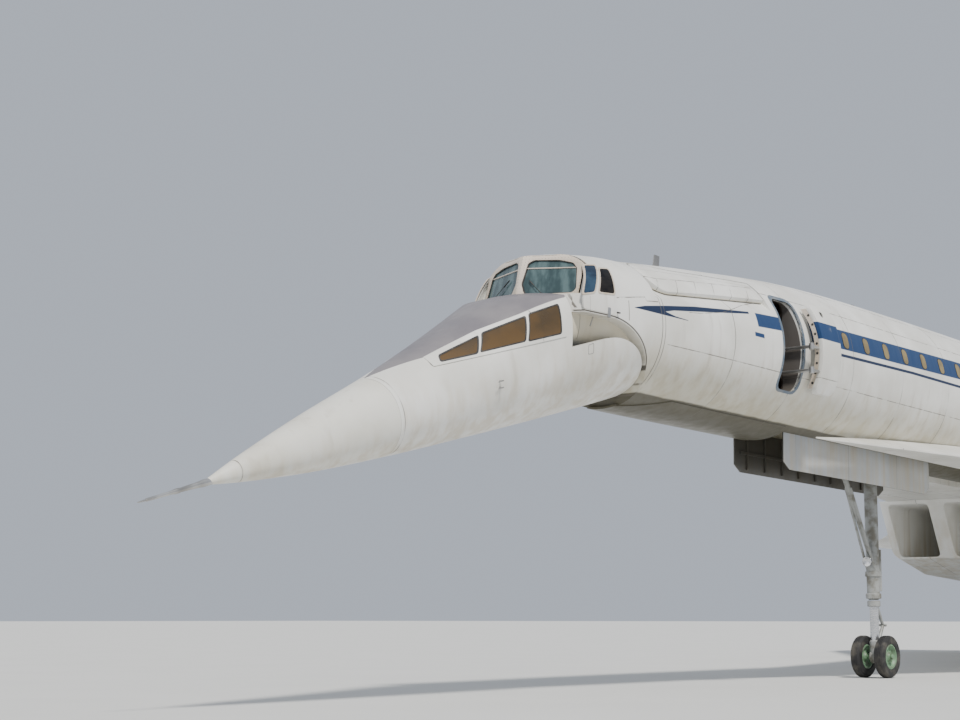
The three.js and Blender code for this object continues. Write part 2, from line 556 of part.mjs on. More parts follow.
const SIDE_NAMES = [{ side: -1, name: 'port' }, { side: 1, name: 'starboard' }];
airframe.add(piece('cockpit_fuselage', 'white', cockpit()));
airframe.add(piece('windscreen', 'glass', windscreen()));
airframe.add(piece('forward_fuselage', 'white', forwardFuselage()));
airframe.add(piece('cabin_fuselage', 'white', fuselage(SECTIONS.cabin)));
airframe.add(piece('tail_fuselage', 'white', fuselage(SECTIONS.tail)));
airframe.add(piece('passenger_door', 'white', passengerDoor()));
airframe.add(piece('fin', 'white', fin()));
airframe.add(piece('lower_rudder', 'white', rudder(0)));
airframe.add(piece('upper_rudder', 'white', rudder(1)));
for (const { side, name } of SIDE_NAMES) {
  noseGroup.add(piece(`visor_band_${name}`, 'pane', visorBand(side)));
  airframe.add(piece(`canard_${name}`, 'white', canardBlade(side)));
  airframe.add(piece(`nose_bay_door_${name}`, 'white', bayDoor(side)));
  airframe.add(piece(`wing_${name}`, 'white', mainWing(side)));
  airframe.add(piece(`nacelle_${name}`, 'white', nacelle(side)));
  for (let index = 0; index < ELEVONS.count; index += 1) {
    airframe.add(piece(`elevon_${name}_${index + 1}`, 'white', elevon(side, index)));
  }
  for (const [index, at] of ductSides.entries()) {
    airframe.add(piece(`engine_${name}_${index + 1}`, 'engine', engineBlock(engineAt(side, at))));
    airframe.add(piece(`nozzle_${name}_${index + 1}`, 'nozzle', nozzle(engineAt(side, at))));
  }
}

// Landing gear, upright over the ground: legs hang on a cross tube in their bays.
const noseGear = () => {
  const { tyre, leg, strut, hub, hubHalf, split, play, shaft, rise, brace } = NOSE_GEAR;
  const { x, z } = level(NOSE_GEAR.s, NOSE_BAY.roof - NOSE_GEAR.hang);
  const wall = NOSE_BAY.half - GAP / M;
  const bore = boreFor(shaft, 20);
  const eye = boreFor(NOSE_GEAR.axle);
  const still = bar([x, -wall, z], [x, wall, z], shaft)
    .add(bar([x, 0, z], [x, 0, split], leg))
    .add(bar([x - brace.ahead, 0, z], [x, 0, brace.low], brace.r))
    .add(bar([x - brace.ahead, -wall, z], [x - brace.ahead, wall, z], brace.r))
    .subtract(bar([x, 0, split - rise], [x, 0, split + rise + shaft / 2], bore, bore, 20));
  const turning = bar([x, 0, split - play], [x, 0, split + rise], shaft, shaft, 20)
    .add(bar([x, 0, tyre], [x, 0, split - play], strut))
    .add(bar([x, -hubHalf, tyre], [x, hubHalf, tyre], hub))
    .subtract(bar([x, -1, tyre], [x, 1, tyre], eye, eye));
  return { x, still, turning };
};

// Tyre and axle profiles are [radius, distance from the middle of the axle] outwards from the hub.
const AXLE_HALF = {
  nose: [[0.07, 0.13], [0.4, 0.13], [0.475, 0.18], [0.475, 0.38], [0.4, 0.44], [0.2, 0.46], [0, 0.46]],
  main: [[0.08, 0.13], [0.42, 0.13], [0.475, 0.17], [0.475, 0.41], [0.13, 0.44], [0.13, 0.57],
    [0.475, 0.6], [0.475, 0.82], [0.41, 0.88], [0.2, 0.9], [0, 0.9]],
};

const axleSet = (x, y, half, sides) => {
  const mirrored = half.map(([r, at]) => [r, -at]).reverse();
  return turned(x, y, MAIN_GEAR.tyre, [...mirrored, ...half], sides);
};

const mainLeg = (side) => {
  const { hang, tube, leg, brace, tyre, beam } = MAIN_GEAR;
  const { x, z } = level(MAIN_GEAR.s, MAIN_BAY.roof - hang);
  const y = side * NACELLE.y;
  const half = MAIN_BAY.half - GAP / M;
  return bar([x, y - half, z], [x, y + half, z], tube)
    .add(bar([x, y, z], [x, y, tyre + beam.over + GAP / M], leg))
    .add(bar([x - brace.ahead, y, z], [x, y, brace.low], brace.r))
    .add(bar([x - brace.ahead, y - half, z], [x - brace.ahead, y + half, z], brace.r));
};

const bogie = (side) => {
  const { spread, beam, tyre } = MAIN_GEAR;
  const { x } = level(MAIN_GEAR.s, 0);
  const y = side * NACELLE.y;
  const reach = spread + beam.past;
  const eye = boreFor(MAIN_GEAR.axle, 20);
  const eyes = [-spread, spread].map(
    (at) => bar([x + at, y - 1, tyre], [x + at, y + 1, tyre], eye, eye, 20));
  return box(x - reach, x + reach, y - beam.half, y + beam.half, tyre - beam.under, tyre + beam.over)
    .subtract(joined(eyes));
};

const front = noseGear();
gear.add(piece('nose_leg', 'gear', front.still));
gear.add(piece('nose_steering', 'gear', front.turning));
gear.add(piece('nose_wheels', 'tyre', axleSet(front.x, 0, AXLE_HALF.nose, 24)));
for (const { side, name } of SIDE_NAMES) {
  gear.add(piece(`main_leg_${name}`, 'gear', mainLeg(side)));
  gear.add(piece(`bogie_${name}`, 'gear', bogie(side)));
  for (const [end, at] of [['front', -1], ['rear', 1]]) {
    const x = level(MAIN_GEAR.s, 0).x + at * MAIN_GEAR.spread;
    gear.add(piece(`wheels_${name}_${end}`, 'tyre', axleSet(x, side * NACELLE.y, AXLE_HALF.main, 18)));
  }
}

// The origin is the middle of the underside of the whole part.
group.updateMatrixWorld(true);
const bounds = new THREE.Box3().setFromObject(group, true);
group.position.set(-(bounds.min.x + bounds.max.x) / 2, -(bounds.min.y + bounds.max.y) / 2, -bounds.min.z);

export default group;
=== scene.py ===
"""Visual pieces and finishes of a half-size supersonic narrow body airliner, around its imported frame.

The airframe is laid out in real metres: stations run aft from the raised nose tip along X, starboard
is +Y and heights are above the cabin axis. A matrix then halves it, pitches it on its landing gear
and stands it where the frame stands. The droop nose is laid out raised and lowered by its own matrix.
"""

import json
import logging
import math
from dataclasses import dataclass
from enum import Enum
from typing import Callable, Dict, List, Optional, Sequence, Tuple

import bmesh
import bpy
from mathutils import Matrix, Vector


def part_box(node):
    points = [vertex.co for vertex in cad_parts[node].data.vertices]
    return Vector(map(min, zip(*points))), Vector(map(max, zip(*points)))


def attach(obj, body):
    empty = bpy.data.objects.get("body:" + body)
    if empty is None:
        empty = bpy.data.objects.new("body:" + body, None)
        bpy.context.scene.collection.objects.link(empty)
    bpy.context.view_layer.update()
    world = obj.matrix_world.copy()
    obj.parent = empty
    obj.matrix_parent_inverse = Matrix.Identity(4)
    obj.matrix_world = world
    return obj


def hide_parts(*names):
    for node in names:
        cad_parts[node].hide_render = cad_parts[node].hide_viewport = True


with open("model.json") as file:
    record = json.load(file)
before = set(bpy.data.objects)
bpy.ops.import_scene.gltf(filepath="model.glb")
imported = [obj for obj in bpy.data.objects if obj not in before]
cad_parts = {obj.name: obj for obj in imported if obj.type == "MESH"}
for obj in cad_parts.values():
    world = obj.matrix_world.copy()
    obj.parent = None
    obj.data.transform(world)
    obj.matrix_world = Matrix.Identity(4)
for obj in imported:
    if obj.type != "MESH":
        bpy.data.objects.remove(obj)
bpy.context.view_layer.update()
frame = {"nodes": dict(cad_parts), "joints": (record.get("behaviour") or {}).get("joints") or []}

log = logging.getLogger("airliner")

Point = Sequence[float]
Span = Tuple[float, float]
Line = Tuple[Span, ...]
Rectangle = Tuple[float, float, float, float]
Colour = Tuple[float, float, float]
Socket = bpy.types.NodeSocket
Piece = bpy.types.Object


class Side(Enum):
    """A side of the aircraft, by the sign of its Y."""

    PORT = -1
    STARBOARD = 1

    @property
    def label(self) -> str:
        """The side's word in node names."""
        return self.name.lower()


class Slot(Enum):
    """The record's material slots."""

    WHITE = "white_paint"
    RADOME = "radome_paint"
    PANE = "visor_pane"
    GLASS = "windscreen_glass"
    STEEL = "bare_steel"
    NOZZLE = "nozzle_metal"
    ENGINE = "engine_metal"
    GEAR = "gear_paint"
    TYRE = "tyre_rubber"


def joint_place(name: str) -> Vector:
    """Where a joint of the frame is.

    Args:
        name: the joint's name in the record.

    Returns:
        Its place in the frame, in metres.
    """
    for joint in frame["joints"]:
        if joint["name"] == name:
            return Vector(joint["pos_m"])
    raise KeyError(name)


def about(centre: Point, angle: float, axis: str) -> Matrix:
    """A turn about the line through a point that runs along an axis."""
    shift = Matrix.Translation(centre)
    return shift @ Matrix.Rotation(angle, 4, axis) @ shift.inverted()


@dataclass(frozen=True)
class Airframe:
    """How the layout in real metres stands in the frame."""

    scale: float = 0.5
    pitch: float = math.radians(1.5)
    droop: float = math.radians(17.0)
    hinge: Tuple[float, float, float] = (9.6, 0.0, -1.05)

    def fixed(self) -> Matrix:
        """Matrix from airframe stations to the frame, for all that doesn't droop."""
        turned = Matrix.Scale(self.scale, 4) @ Matrix.Rotation(self.pitch, 4, "Y")
        shift = joint_place("nose_droop") - turned @ Vector(self.hinge)
        return Matrix.Translation(shift) @ turned

    def nose(self) -> Matrix:
        """Matrix from airframe stations to the frame for the nose, which is laid out raised."""
        return self.fixed() @ self.lowered(1.0)

    def lowered(self, share: float) -> Matrix:
        """Matrix that lowers the nose by a share of its droop, within airframe stations.

        Args:
            share: 0 for raised and 1 for fully down.

        Returns:
            The turn about the hinge line.
        """
        return about(self.hinge, -self.droop * share, "Y")

    def ground(self) -> Matrix:
        """Matrix to the frame for the landing gear, laid out in real metres over the ground."""
        front = self.fixed().translation.x - 14.3 * (1 - math.cos(self.pitch)) * self.scale
        return Matrix.Translation((front, 0, 0)) @ Matrix.Scale(self.scale, 4)


AIRFRAME = Airframe()
FIXED = AIRFRAME.fixed()
NOSE = AIRFRAME.nose()
GROUND = AIRFRAME.ground()


def clear() -> None:
    """Leave edit mode and deselect everything."""
    if bpy.context.object and bpy.context.object.mode != "OBJECT":
        bpy.ops.object.mode_set(mode="OBJECT")
    bpy.ops.object.select_all(action="DESELECT")


def take(piece: Piece) -> None:
    """Make a piece the only one selected, and the active one."""
    clear()
    piece.select_set(True)
    bpy.context.view_layer.objects.active = piece


def begun(name: str) -> Piece:
    """Name the primitive that was just added and open it for editing.

    Args:
        name: the piece's name.

    Returns:
        The piece, in edit mode.
    """
    piece = bpy.context.object
    piece.name = name
    piece.data.name = name
    bpy.ops.object.transform_apply(location=True, rotation=True, scale=True)
    bpy.ops.object.mode_set(mode="EDIT")
    return piece


def closed(piece: Piece, merge: bool = False) -> Piece:
    """Turn all faces of a piece outwards and leave edit mode.

    Args:
        piece: the piece, in edit mode.
        merge: whether doubled points are merged first.

    Returns:
        The same piece.
    """
    bpy.ops.mesh.select_all(action="SELECT")
    if merge:
        bpy.ops.mesh.remove_doubles(threshold=0.0005)
    bpy.ops.mesh.normals_make_consistent(inside=False)
    bpy.ops.object.mode_set(mode="OBJECT")
    return piece


def choose(piece: Piece, kind: str, test: Callable[[bmesh.types.BMVert], bool]) -> None:
    """Select the points, edges or faces of a piece that pass a test.

    Args:
        piece: the piece, in edit mode.
        kind: VERT, EDGE or FACE.
        test: what each one must pass.
    """
    bpy.ops.mesh.select_all(action="DESELECT")
    bpy.ops.mesh.select_mode(type=kind)
    mesh = bmesh.from_edit_mesh(piece.data)
    found = {"VERT": mesh.verts, "EDGE": mesh.edges, "FACE": mesh.faces}[kind]
    for item in found:
        if test(item):
            item.select_set(True)
    mesh.select_flush_mode()
    bmesh.update_edit_mesh(piece.data)


def traced(name: str, points: Sequence[Point], face: bool = True) -> Piece:
    """Draw a line from point to point, and close it to a face if asked.

    Args:
        name: the piece's name.
        points: the corners, in order.
        face: whether the line becomes one closed face.

    Returns:
        The piece, in edit mode, all selected.
    """
    clear()
    bpy.ops.mesh.primitive_plane_add(size=0.01, location=points[0])
    piece = begun(name)
    bpy.ops.mesh.select_mode(type="VERT")
    bpy.ops.mesh.select_all(action="SELECT")
    bpy.ops.mesh.merge(type="CENTER")
    for start, end in zip(points, points[1:]):
        move = Vector(end) - Vector(start)
        bpy.ops.mesh.extrude_region_move(TRANSFORM_OT_translate={"value": move})
    bpy.ops.mesh.select_all(action="SELECT")
    if face:
        bpy.ops.mesh.edge_face_add()
    return piece


def plate(name: str, points: Sequence[Point], depth: Point, rounding: float = 0.0) -> Piece:
    """Extrude a closed outline, with its corners rounded first if asked.

    Args:
        name: the piece's name.
        points: the corners of the outline, in order.
        depth: the vector that the outline is extruded by.
        rounding: how far the rounding of the corners reaches.

    Returns:
        The closed plate.
    """
    piece = traced(name, points)
    if rounding:
        bpy.ops.mesh.bevel(offset=rounding, segments=4, affect="VERTICES")
        bpy.ops.mesh.select_all(action="SELECT")
    bpy.ops.mesh.extrude_region_move(TRANSFORM_OT_translate={"value": depth})
    return closed(piece)


class Axis(Enum):
    """An axis of the layout: along the aircraft, across it or up."""

    ALONG = 0
    ACROSS = 1
    UP = 2


def corners(first: float, last: float, low: float, top: float) -> List[Span]:
    """The four corners of a rectangle, in order."""
    return [(first, low), (last, low), (last, top), (first, top)]


def block(name: str, s: Span, y: Span, h: Span, axis: Axis, rounding: float = 0.0) -> Piece:
    """Extrude a rectangle along one axis, with its corners rounded first if asked.

    Args:
        name: the piece's name.
        s: where it begins and ends along the aircraft.
        y: the same across the aircraft.
        h: the same in height.
        axis: the axis that the rectangle is extruded along.
        rounding: how far the rounding of the corners reaches.

    Returns:
        The closed block.
    """
    spans = [s, y, h]
    start, end = spans.pop(axis.value)
    points = [list(corner) for corner in corners(*spans[0], *spans[1])]
    for point in points:
        point.insert(axis.value, start)
    depth = [0.0, 0.0, 0.0]
    depth[axis.value] = end - start
    return plate(name, points, depth, rounding)


def swept(name: str, points: Sequence[Point], moves: Sequence[Tuple[Point, Point, Point]]) -> Piece:
    """Extrude a closed outline step by step and resize it about a point at each step.

    Args:
        name: the piece's name.
        points: the corners of the first outline, in order.
        moves: for each step the move, the resize factors and the point to resize about.

    Returns:
        The closed body.
    """
    piece = traced(name, points)
    for move, size, centre in moves:
        bpy.ops.mesh.extrude_region_move(TRANSFORM_OT_translate={"value": move})
        bpy.ops.transform.resize(value=size, center_override=centre)
    return closed(piece)


def revolved(name: str, profile: Sequence[Point], centre: Point, axis: Point, steps: int = 40) -> Piece:
    """Spin a line all the way round an axis.

    Args:
        name: the piece's name.
        profile: the points of the line.
        centre: a point on the axis.
        axis: the direction of the axis.
        steps: how many facets go round.

    Returns:
        The turned piece.
    """
    piece = traced(name, profile, face=False)
    bpy.ops.mesh.spin(steps=steps, angle=math.tau, center=centre, axis=axis)
    return closed(piece, merge=True)


def rod(name: str, start: Point, end: Point, radius: float, end_radius: Optional[float] = None,
        steps: int = 24) -> Piece:
    """Turn a round bar with chamfered ends between two points.

    Args:
        name: the piece's name.
        start: the middle of its first end.
        end: the middle of its other end.
        radius: its radius at the start.
        end_radius: its radius at the end, if that differs.
        steps: how many facets go round.

    Returns:
        The bar.
    """
    other = radius if end_radius is None else end_radius
    along = Vector(end) - Vector(start)
    length = along.length
    edge = min(radius, other, length / 2) * 0.25
    profile = [(0, 0, 0), (0, 0, radius - edge), (edge, 0, radius), (length - edge, 0, other),
               (length, 0, other - edge), (length, 0, 0)]
    piece = revolved(name, profile, (0, 0, 0), (1, 0, 0), steps)
    turn = Vector((1, 0, 0)).rotation_difference(along).to_matrix().to_4x4()
    return placed(piece, Matrix.Translation(start) @ turn)


def placed(piece: Piece, matrix: Matrix) -> Piece:
    """Move a piece by a matrix and leave its object at the origin.

    Args:
        piece: the piece.
        matrix: where it goes.

    Returns:
        The same piece.
    """
    take(piece)
    piece.matrix_world = matrix @ piece.matrix_world
    bpy.ops.object.transform_apply(location=True, rotation=True, scale=True)
    return piece


def cut(piece: Piece, tool: Piece, how: str = "DIFFERENCE") -> Piece:
    """Cut, keep or add one piece with another, which is used up.

    Args:
        piece: the piece that stays.
        tool: the piece that is used up.
        how: DIFFERENCE, INTERSECT or UNION.

    Returns:
        The piece that stays.
    """
    take(piece)
    modifier = piece.modifiers.new("cut", "BOOLEAN")
    modifier.operation = how
    modifier.solver = "EXACT"
    modifier.object = tool
    bpy.ops.object.modifier_apply(modifier=modifier.name)
    bpy.data.objects.remove(tool)
    return piece


def softened(piece: Piece, width: float, segments: int = 2, angle: float = 35.0) -> Piece:
    """Bevel the sharp edges of a piece.

    Args:
        piece: the piece.
        width: how wide each bevel is.
        segments: how many faces a bevel has.
        angle: edges sharper than this many degrees are bevelled.

    Returns:
        The same piece.
    """
    take(piece)
    modifier = piece.modifiers.new("soften", "BEVEL")
    modifier.width = width
    modifier.segments = segments
    modifier.limit_method = "ANGLE"
    modifier.angle_limit = math.radians(angle)
    bpy.ops.object.modifier_apply(modifier=modifier.name)
    return piece


def copied(piece: Piece, name: str, matrix: Optional[Matrix] = None) -> Piece:
    """Copy a piece with a mesh of its own.

    Args:
        piece: the piece to copy.
        name: the copy's name.
        matrix: how the copy is moved, if it is.

    Returns:
        The copy.
    """
    take(piece)
    bpy.ops.object.duplicate(linked=False)
    copy = bpy.context.object
    copy.name = name
    copy.data.name = name
    return copy if matrix is None else placed(copy, matrix)


def mirrored(piece: Piece, name: str) -> Piece:
    """Copy a piece to the other side of the aircraft.

    Args:
        piece: the piece to copy.
        name: the copy's name.

    Returns:
        The mirrored copy, facing out.
    """
    copy = copied(piece, name)
    bpy.ops.object.mode_set(mode="EDIT")
    bpy.ops.mesh.select_all(action="SELECT")
    bpy.ops.transform.resize(value=(1, -1, 1), center_override=(0, 0, 0))
    bpy.ops.mesh.flip_normals()
    bpy.ops.object.mode_set(mode="OBJECT")
    return copy


def merged(name: str, pieces: Sequence[Piece]) -> Piece:
    """Join several pieces into one.

    Args:
        name: the name of the joined piece.
        pieces: the pieces, which become one.

    Returns:
        The joined piece.
    """
    clear()
    for piece in pieces:
        piece.select_set(True)
    bpy.context.view_layer.objects.active = pieces[0]
    if len(pieces) > 1:
        bpy.ops.object.join()
    joined = bpy.context.object
    joined.name = name
    joined.data.name = name
    return joined


def smoothed(piece: Piece, angle: float = 28.0) -> Piece:
    """Shade a piece smooth but for its sharp edges."""
    take(piece)
    bpy.ops.object.shade_smooth_by_angle(angle=math.radians(angle))
    return piece


def between(rows: Sequence[Sequence[float]], at: float, column: int) -> float:
    """A value between the rows of a table, eased with the slopes of the neighbouring rows.

    Args:
        rows: the table, whose first column rises.
        at: where in the first column.
        column: which column is read.

    Returns:
        The eased value.
    """
    last = len(rows) - 1
    index = max(0, min(last - 1, sum(row[0] <= at for row in rows) - 1))

    def slope(row: int) -> float:
        """Mean slope around a row."""
        before, after = rows[max(row - 1, 0)], rows[min(row + 1, last)]
        return (after[column] - before[column]) / (after[0] - before[0])

    span = rows[index + 1][0] - rows[index][0]
    share = min(max((at - rows[index][0]) / span, 0.0), 1.0)
    rise = rows[index + 1][column] - rows[index][column]
    ease = (1 - share) * (slope(index) * span - rise) - share * (slope(index + 1) * span - rise)
    return rows[index][column] + share * rise + share * (1 - share) * ease


def grown(points: Sequence[Span], by: float) -> List[Span]:
    """Push every edge of an outline outwards.

    Args:
        points: the outline.
        by: how far each edge goes.

    Returns:
        The larger outline.
    """
    ring = [Vector(point) for point in points]
    area = sum(a.x * b.y - b.x * a.y for a, b in zip(ring, ring[1:] + ring[:1]))
    result = []
    for before, corner, after in zip(ring[-1:] + ring[:-1], ring, ring[1:] + ring[:1]):
        first, second = (corner - before).normalized(), (after - corner).normalized()
        out = Vector((first.y, -first.x)) * math.copysign(1, area)
        other = Vector((second.y, -second.x)) * math.copysign(1, area)
        middle = (out + other).normalized()
        moved = corner + middle * (by / max(middle.dot(out), 0.4))
        result.append((moved.x, moved.y))
    return result


@dataclass(frozen=True)
class HullForm:
    """The fuselage as oval sections along its length: station, top, underside and half-width."""

    rows: Tuple[Tuple[float, float, float, float], ...] = (
        (0.0, -1.2, -1.26, 0.03), (0.8, -0.98, -1.38, 0.2), (2.2, -0.65, -1.53, 0.44),
        (4.0, -0.28, -1.64, 0.68), (5.5, 0.08, -1.7, 0.9), (7.0, 0.44, -1.75, 1.1),
        (8.5, 0.72, -1.79, 1.28), (10.2, 0.95, -1.82, 1.42), (12.6, 1.22, -1.83, 1.54),
        (16.0, 1.53, -1.83, 1.6), (20.0, 1.64, -1.83, 1.6), (26.0, 1.67, -1.83, 1.6),
        (44.0, 1.67, -1.83, 1.6), (50.0, 1.62, -1.66, 1.5), (56.0, 1.38, -1.05, 1.12),
        (60.5, 1.06, -0.4, 0.7), (64.4, 0.6, 0.28, 0.16))
    shoulders: Line = (
        (5.2, 2.0), (6.6, 2.4), (8.1, 3.3), (9.0, 2.9), (10.1, 2.0))
    sides: int = 96

    def power(self, s: float) -> float:
        """Power of the curve over a section's sides: 2 is an ellipse, more a squarer shoulder."""
        return between(self.shoulders, s, 1)

    def section(self, s: float, inset: float = 0.0) -> Tuple[float, float, float]:
        """One oval section.

        Args:
            s: its station.
            inset: how far it lies inside the skin.

        Returns:
            The height of its middle, its half-height and its half-width.
        """
        top = between(self.rows, s, 1) - inset
        low = between(self.rows, s, 2) + inset
        return (top + low) / 2, (top - low) / 2, between(self.rows, s, 3) - inset

    def width_at(self, s: float, h: float) -> float:
        """Half-width of the skin at a station and height."""
        mid, high, half = self.section(s)
        power = self.power(s) if h > mid else 2.0
        return half * max(0.0, 1 - (abs(h - mid) / high) ** power) ** (1 / power)

    def square_up(self, piece: Piece, inset: float) -> None:
        """Move the upper points of an oval skin out to its squarer shoulders.

        Args:
            piece: the skin, in edit mode.
            inset: how far the skin lies inside the form.
        """
        mesh = bmesh.from_edit_mesh(piece.data)
        for vert in mesh.verts:
            mid, high, half = self.section(vert.co.x, inset)
            across, up = vert.co.y / half, (vert.co.z - mid) / high
            if up > 0:
                power = 2 / self.power(vert.co.x)
                vert.co.y = half * math.copysign(abs(across) ** power, across)
                vert.co.z = mid + high * up ** power
        bmesh.update_edit_mesh(piece.data)

    def loft(self, name: str, front: float, rear: float, step: float, inset: float = 0.0,
             sides: Optional[int] = None) -> Piece:
        """Skin the sections between two stations, ring by ring, and close both ends.

        Args:
            name: the piece's name.
            front: the first station.
            rear: the last station.
            step: about how far apart the rings are.
            inset: how far the skin lies inside the form; negative lies outside.
            sides: how many facets go round, if not the usual number.

        Returns:
            The closed body.
        """
        clear()
        count = max(1, round((rear - front) / step))
        stations = [front + (rear - front) * index / count for index in range(count + 1)]
        mid, high, half = self.section(front, inset)
        bpy.ops.mesh.primitive_circle_add(vertices=sides or self.sides, radius=1, fill_type="NOTHING",
                                          location=(front, 0, mid), rotation=(0, math.pi / 2, 0))
        piece = begun(name)
        bpy.ops.mesh.select_all(action="SELECT")
        bpy.ops.transform.resize(value=(1, half, high), center_override=(front, 0, mid))
        for before, s in zip(stations, stations[1:]):
            new_mid, new_high, new_half = self.section(s, inset)
            bpy.ops.mesh.extrude_region_move(
                TRANSFORM_OT_translate={"value": (s - before, 0, new_mid - mid)})
            bpy.ops.transform.resize(value=(1, new_half / half, new_high / high),
                                     center_override=(s, 0, new_mid))
            mid, high, half = new_mid, new_high, new_half
        if front < self.shoulders[-1][0] and rear > self.shoulders[0][0]:
            self.square_up(piece, inset)
        bpy.ops.mesh.select_all(action="SELECT")
        bpy.ops.mesh.fill_holes(sides=0)
        return closed(piece)

    def patch(self, name: str, points: Sequence[Span], proud: float, thick: float,
              rounding: float = 0.0) -> Piece:
        """Cut a curved plate out of the port skin by its side outline.

        Args:
            name: the piece's name.
            points: station and height of each corner.
            proud: how far its face stands out of the skin.
            thick: how thick it is.
            rounding: how far the rounding of its corners reaches.

        Returns:
            The plate, closed all round.
        """
        front = min(s for s, _ in points) - 0.1
        rear = max(s for s, _ in points) + 0.1
        step = max(0.15, (rear - front) / 16)
        piece = self.loft(name, front, rear, step, -proud)
        prism = plate("prism", [(s, -3, h) for s, h in points], (0, 2.9, 0), rounding)
        cut(piece, prism, "INTERSECT")
        return cut(piece, self.loft("core", front - 0.1, rear + 0.1, step, thick - proud))

    def pierced(self, piece: Piece, points: Sequence[Span], rounding: float = 0.0) -> Piece:
        """Cut a window through the port side of a piece by its side outline.

        Args:
            piece: the piece.
            points: station and height of each corner of the window.
            rounding: how far the rounding of its corners reaches.

        Returns:
            The same piece.
        """
        return cut(piece, plate("opening", [(s, -3, h) for s, h in points], (0, 2.9, 0), rounding))


HULL = HullForm()


class Shader:
    """A node material that is built up value by value, in airframe stations or real metres."""

    def __init__(self, name: str, place: Matrix) -> None:
        """Start a material.

        Args:
            name: its name.
            place: the matrix that took the piece from its layout to the frame.
        """
        self.material = bpy.data.materials.new(name)
        self.material.use_nodes = True
        self.tree = self.material.node_tree
        self.surface = next(n for n in self.tree.nodes if n.type == "BSDF_PRINCIPLED")
        shift, turn, size = place.inverted().decompose()
        mapping = self.tree.nodes.new("ShaderNodeMapping")
        mapping.inputs["Location"].default_value = shift
        mapping.inputs["Rotation"].default_value = turn.to_euler()
        mapping.inputs["Scale"].default_value = size
        source = self.tree.nodes.new("ShaderNodeTexCoord")
        self.tree.links.new(source.outputs["Object"], mapping.inputs["Vector"])
        self.place = mapping.outputs[0]
        split = self.tree.nodes.new("ShaderNodeSeparateXYZ")
        self.tree.links.new(self.place, split.inputs[0])
        self.s, self.y, self.h = split.outputs

    def feed(self, socket: Socket, value: object) -> None:
        """Link a value into a socket, or set it there."""
        if isinstance(value, bpy.types.NodeSocket):
            self.tree.links.new(value, socket)
        else:
            socket.default_value = value

    def math(self, operation: str, first: object, second: object = 0.0) -> Socket:
        """One sum of two values.

        Args:
            operation: Blender's word for it.
            first: a socket or number.
            second: a socket or number.

        Returns:
            The result's socket.
        """
        node = self.tree.nodes.new("ShaderNodeMath")
        node.operation = operation
        self.feed(node.inputs[0], first)
        self.feed(node.inputs[1], second)
        return node.outputs[0]

    def times(self, first: object, second: object) -> Socket:
        """The product of two values."""
        return self.math("MULTIPLY", first, second)

    def plus(self, first: object, second: object) -> Socket:
        """The sum of two values."""
        return self.math("ADD", first, second)

    def less(self, first: object, second: object) -> Socket:
        """The first value less the second."""
        return self.math("SUBTRACT", first, second)

    def step(self, value: Socket, low: object, high: object) -> Socket:
        """A smooth rise from 0 at low to 1 at high."""
        node = self.tree.nodes.new("ShaderNodeMapRange")
        node.interpolation_type = "SMOOTHSTEP"
        for socket, given in zip(node.inputs, (value, low, high)):
            self.feed(socket, given)
        return node.outputs[0]

    def flip(self, value: Socket) -> Socket:
        """One less the value."""
        return self.less(1.0, value)

    def fall(self, value: Socket, low: object, high: object) -> Socket:
        """A smooth fall from 1 at low to 0 at high."""
        return self.flip(self.step(value, low, high))

    def both(self, *values: Socket) -> Socket:
        """The product of several masks."""
        result = values[0]
        for value in values[1:]:
            result = self.times(result, value)
        return result

    def either(self, *values: Socket) -> Socket:
        """The largest of several masks."""
        result = values[0]
        for value in values[1:]:
            result = self.math("MAXIMUM", result, value)
        return result

    def within(self, value: Socket, low: object, high: object, soft: float) -> Socket:
        """A mask that is 1 between two values.

        Args:
            value: what is tested.
            low: where the mask begins.
            high: where it ends.
            soft: half the width of its edges.

        Returns:
            The mask.
        """
        above = self.step(self.less(value, low), -soft, soft)
        under = self.step(self.less(value, high), -soft, soft)
        return self.both(above, self.flip(under))

    def line(self, value: Socket, at: float, width: float) -> Socket:
        """A thin line where a value is met."""
        distance = self.math("ABSOLUTE", self.less(value, at))
        return self.fall(distance, width * 0.35, width)

    def lines(self, value: Socket, pitch: float, width: float, start: float = 0.0) -> Socket:
        """Thin lines at every pitch along a value."""
        distance = self.math("PINGPONG", self.less(value, start), pitch / 2)
        return self.fall(distance, width * 0.35, width)

    def noise(self, scale: float, detail: float = 3.0, stretch: Colour = (1.0, 1.0, 1.0)) -> Socket:
        """Cloudy noise, stretched by three factors.

        Args:
            scale: how fine it is, per real metre.
            detail: how many finer layers it has.
            stretch: factors along station, side and height; a small one draws the noise out.

        Returns:
            Values around a half.
        """
        spread = self.tree.nodes.new("ShaderNodeVectorMath")
        spread.operation = "MULTIPLY"
        self.feed(spread.inputs[0], self.place)
        spread.inputs[1].default_value = stretch
        node = self.tree.nodes.new("ShaderNodeTexNoise")
        self.feed(node.inputs["Vector"], spread.outputs[0])
        node.inputs["Scale"].default_value = scale
        node.inputs["Detail"].default_value = detail
        return node.outputs[0]

    def curve(self, value: Socket, points: Sequence[Span]) -> Socket:
        """A value read off a line through points, with its ends held.

        Args:
            value: what the line is read at.
            points: the line's corners, in rising order.

        Returns:
            The value on the line.
        """
        result = None
        for (start, low), (end, high) in zip(points, points[1:]):
            node = self.tree.nodes.new("ShaderNodeMapRange")
            node.interpolation_type = "LINEAR"
            node.clamp = True
            for socket, given in zip(node.inputs, (value, start, end, 0.0, high - low)):
                self.feed(socket, given)
            result = node.outputs[0] if result is None else self.plus(result, node.outputs[0])
        return self.plus(result, points[0][1])

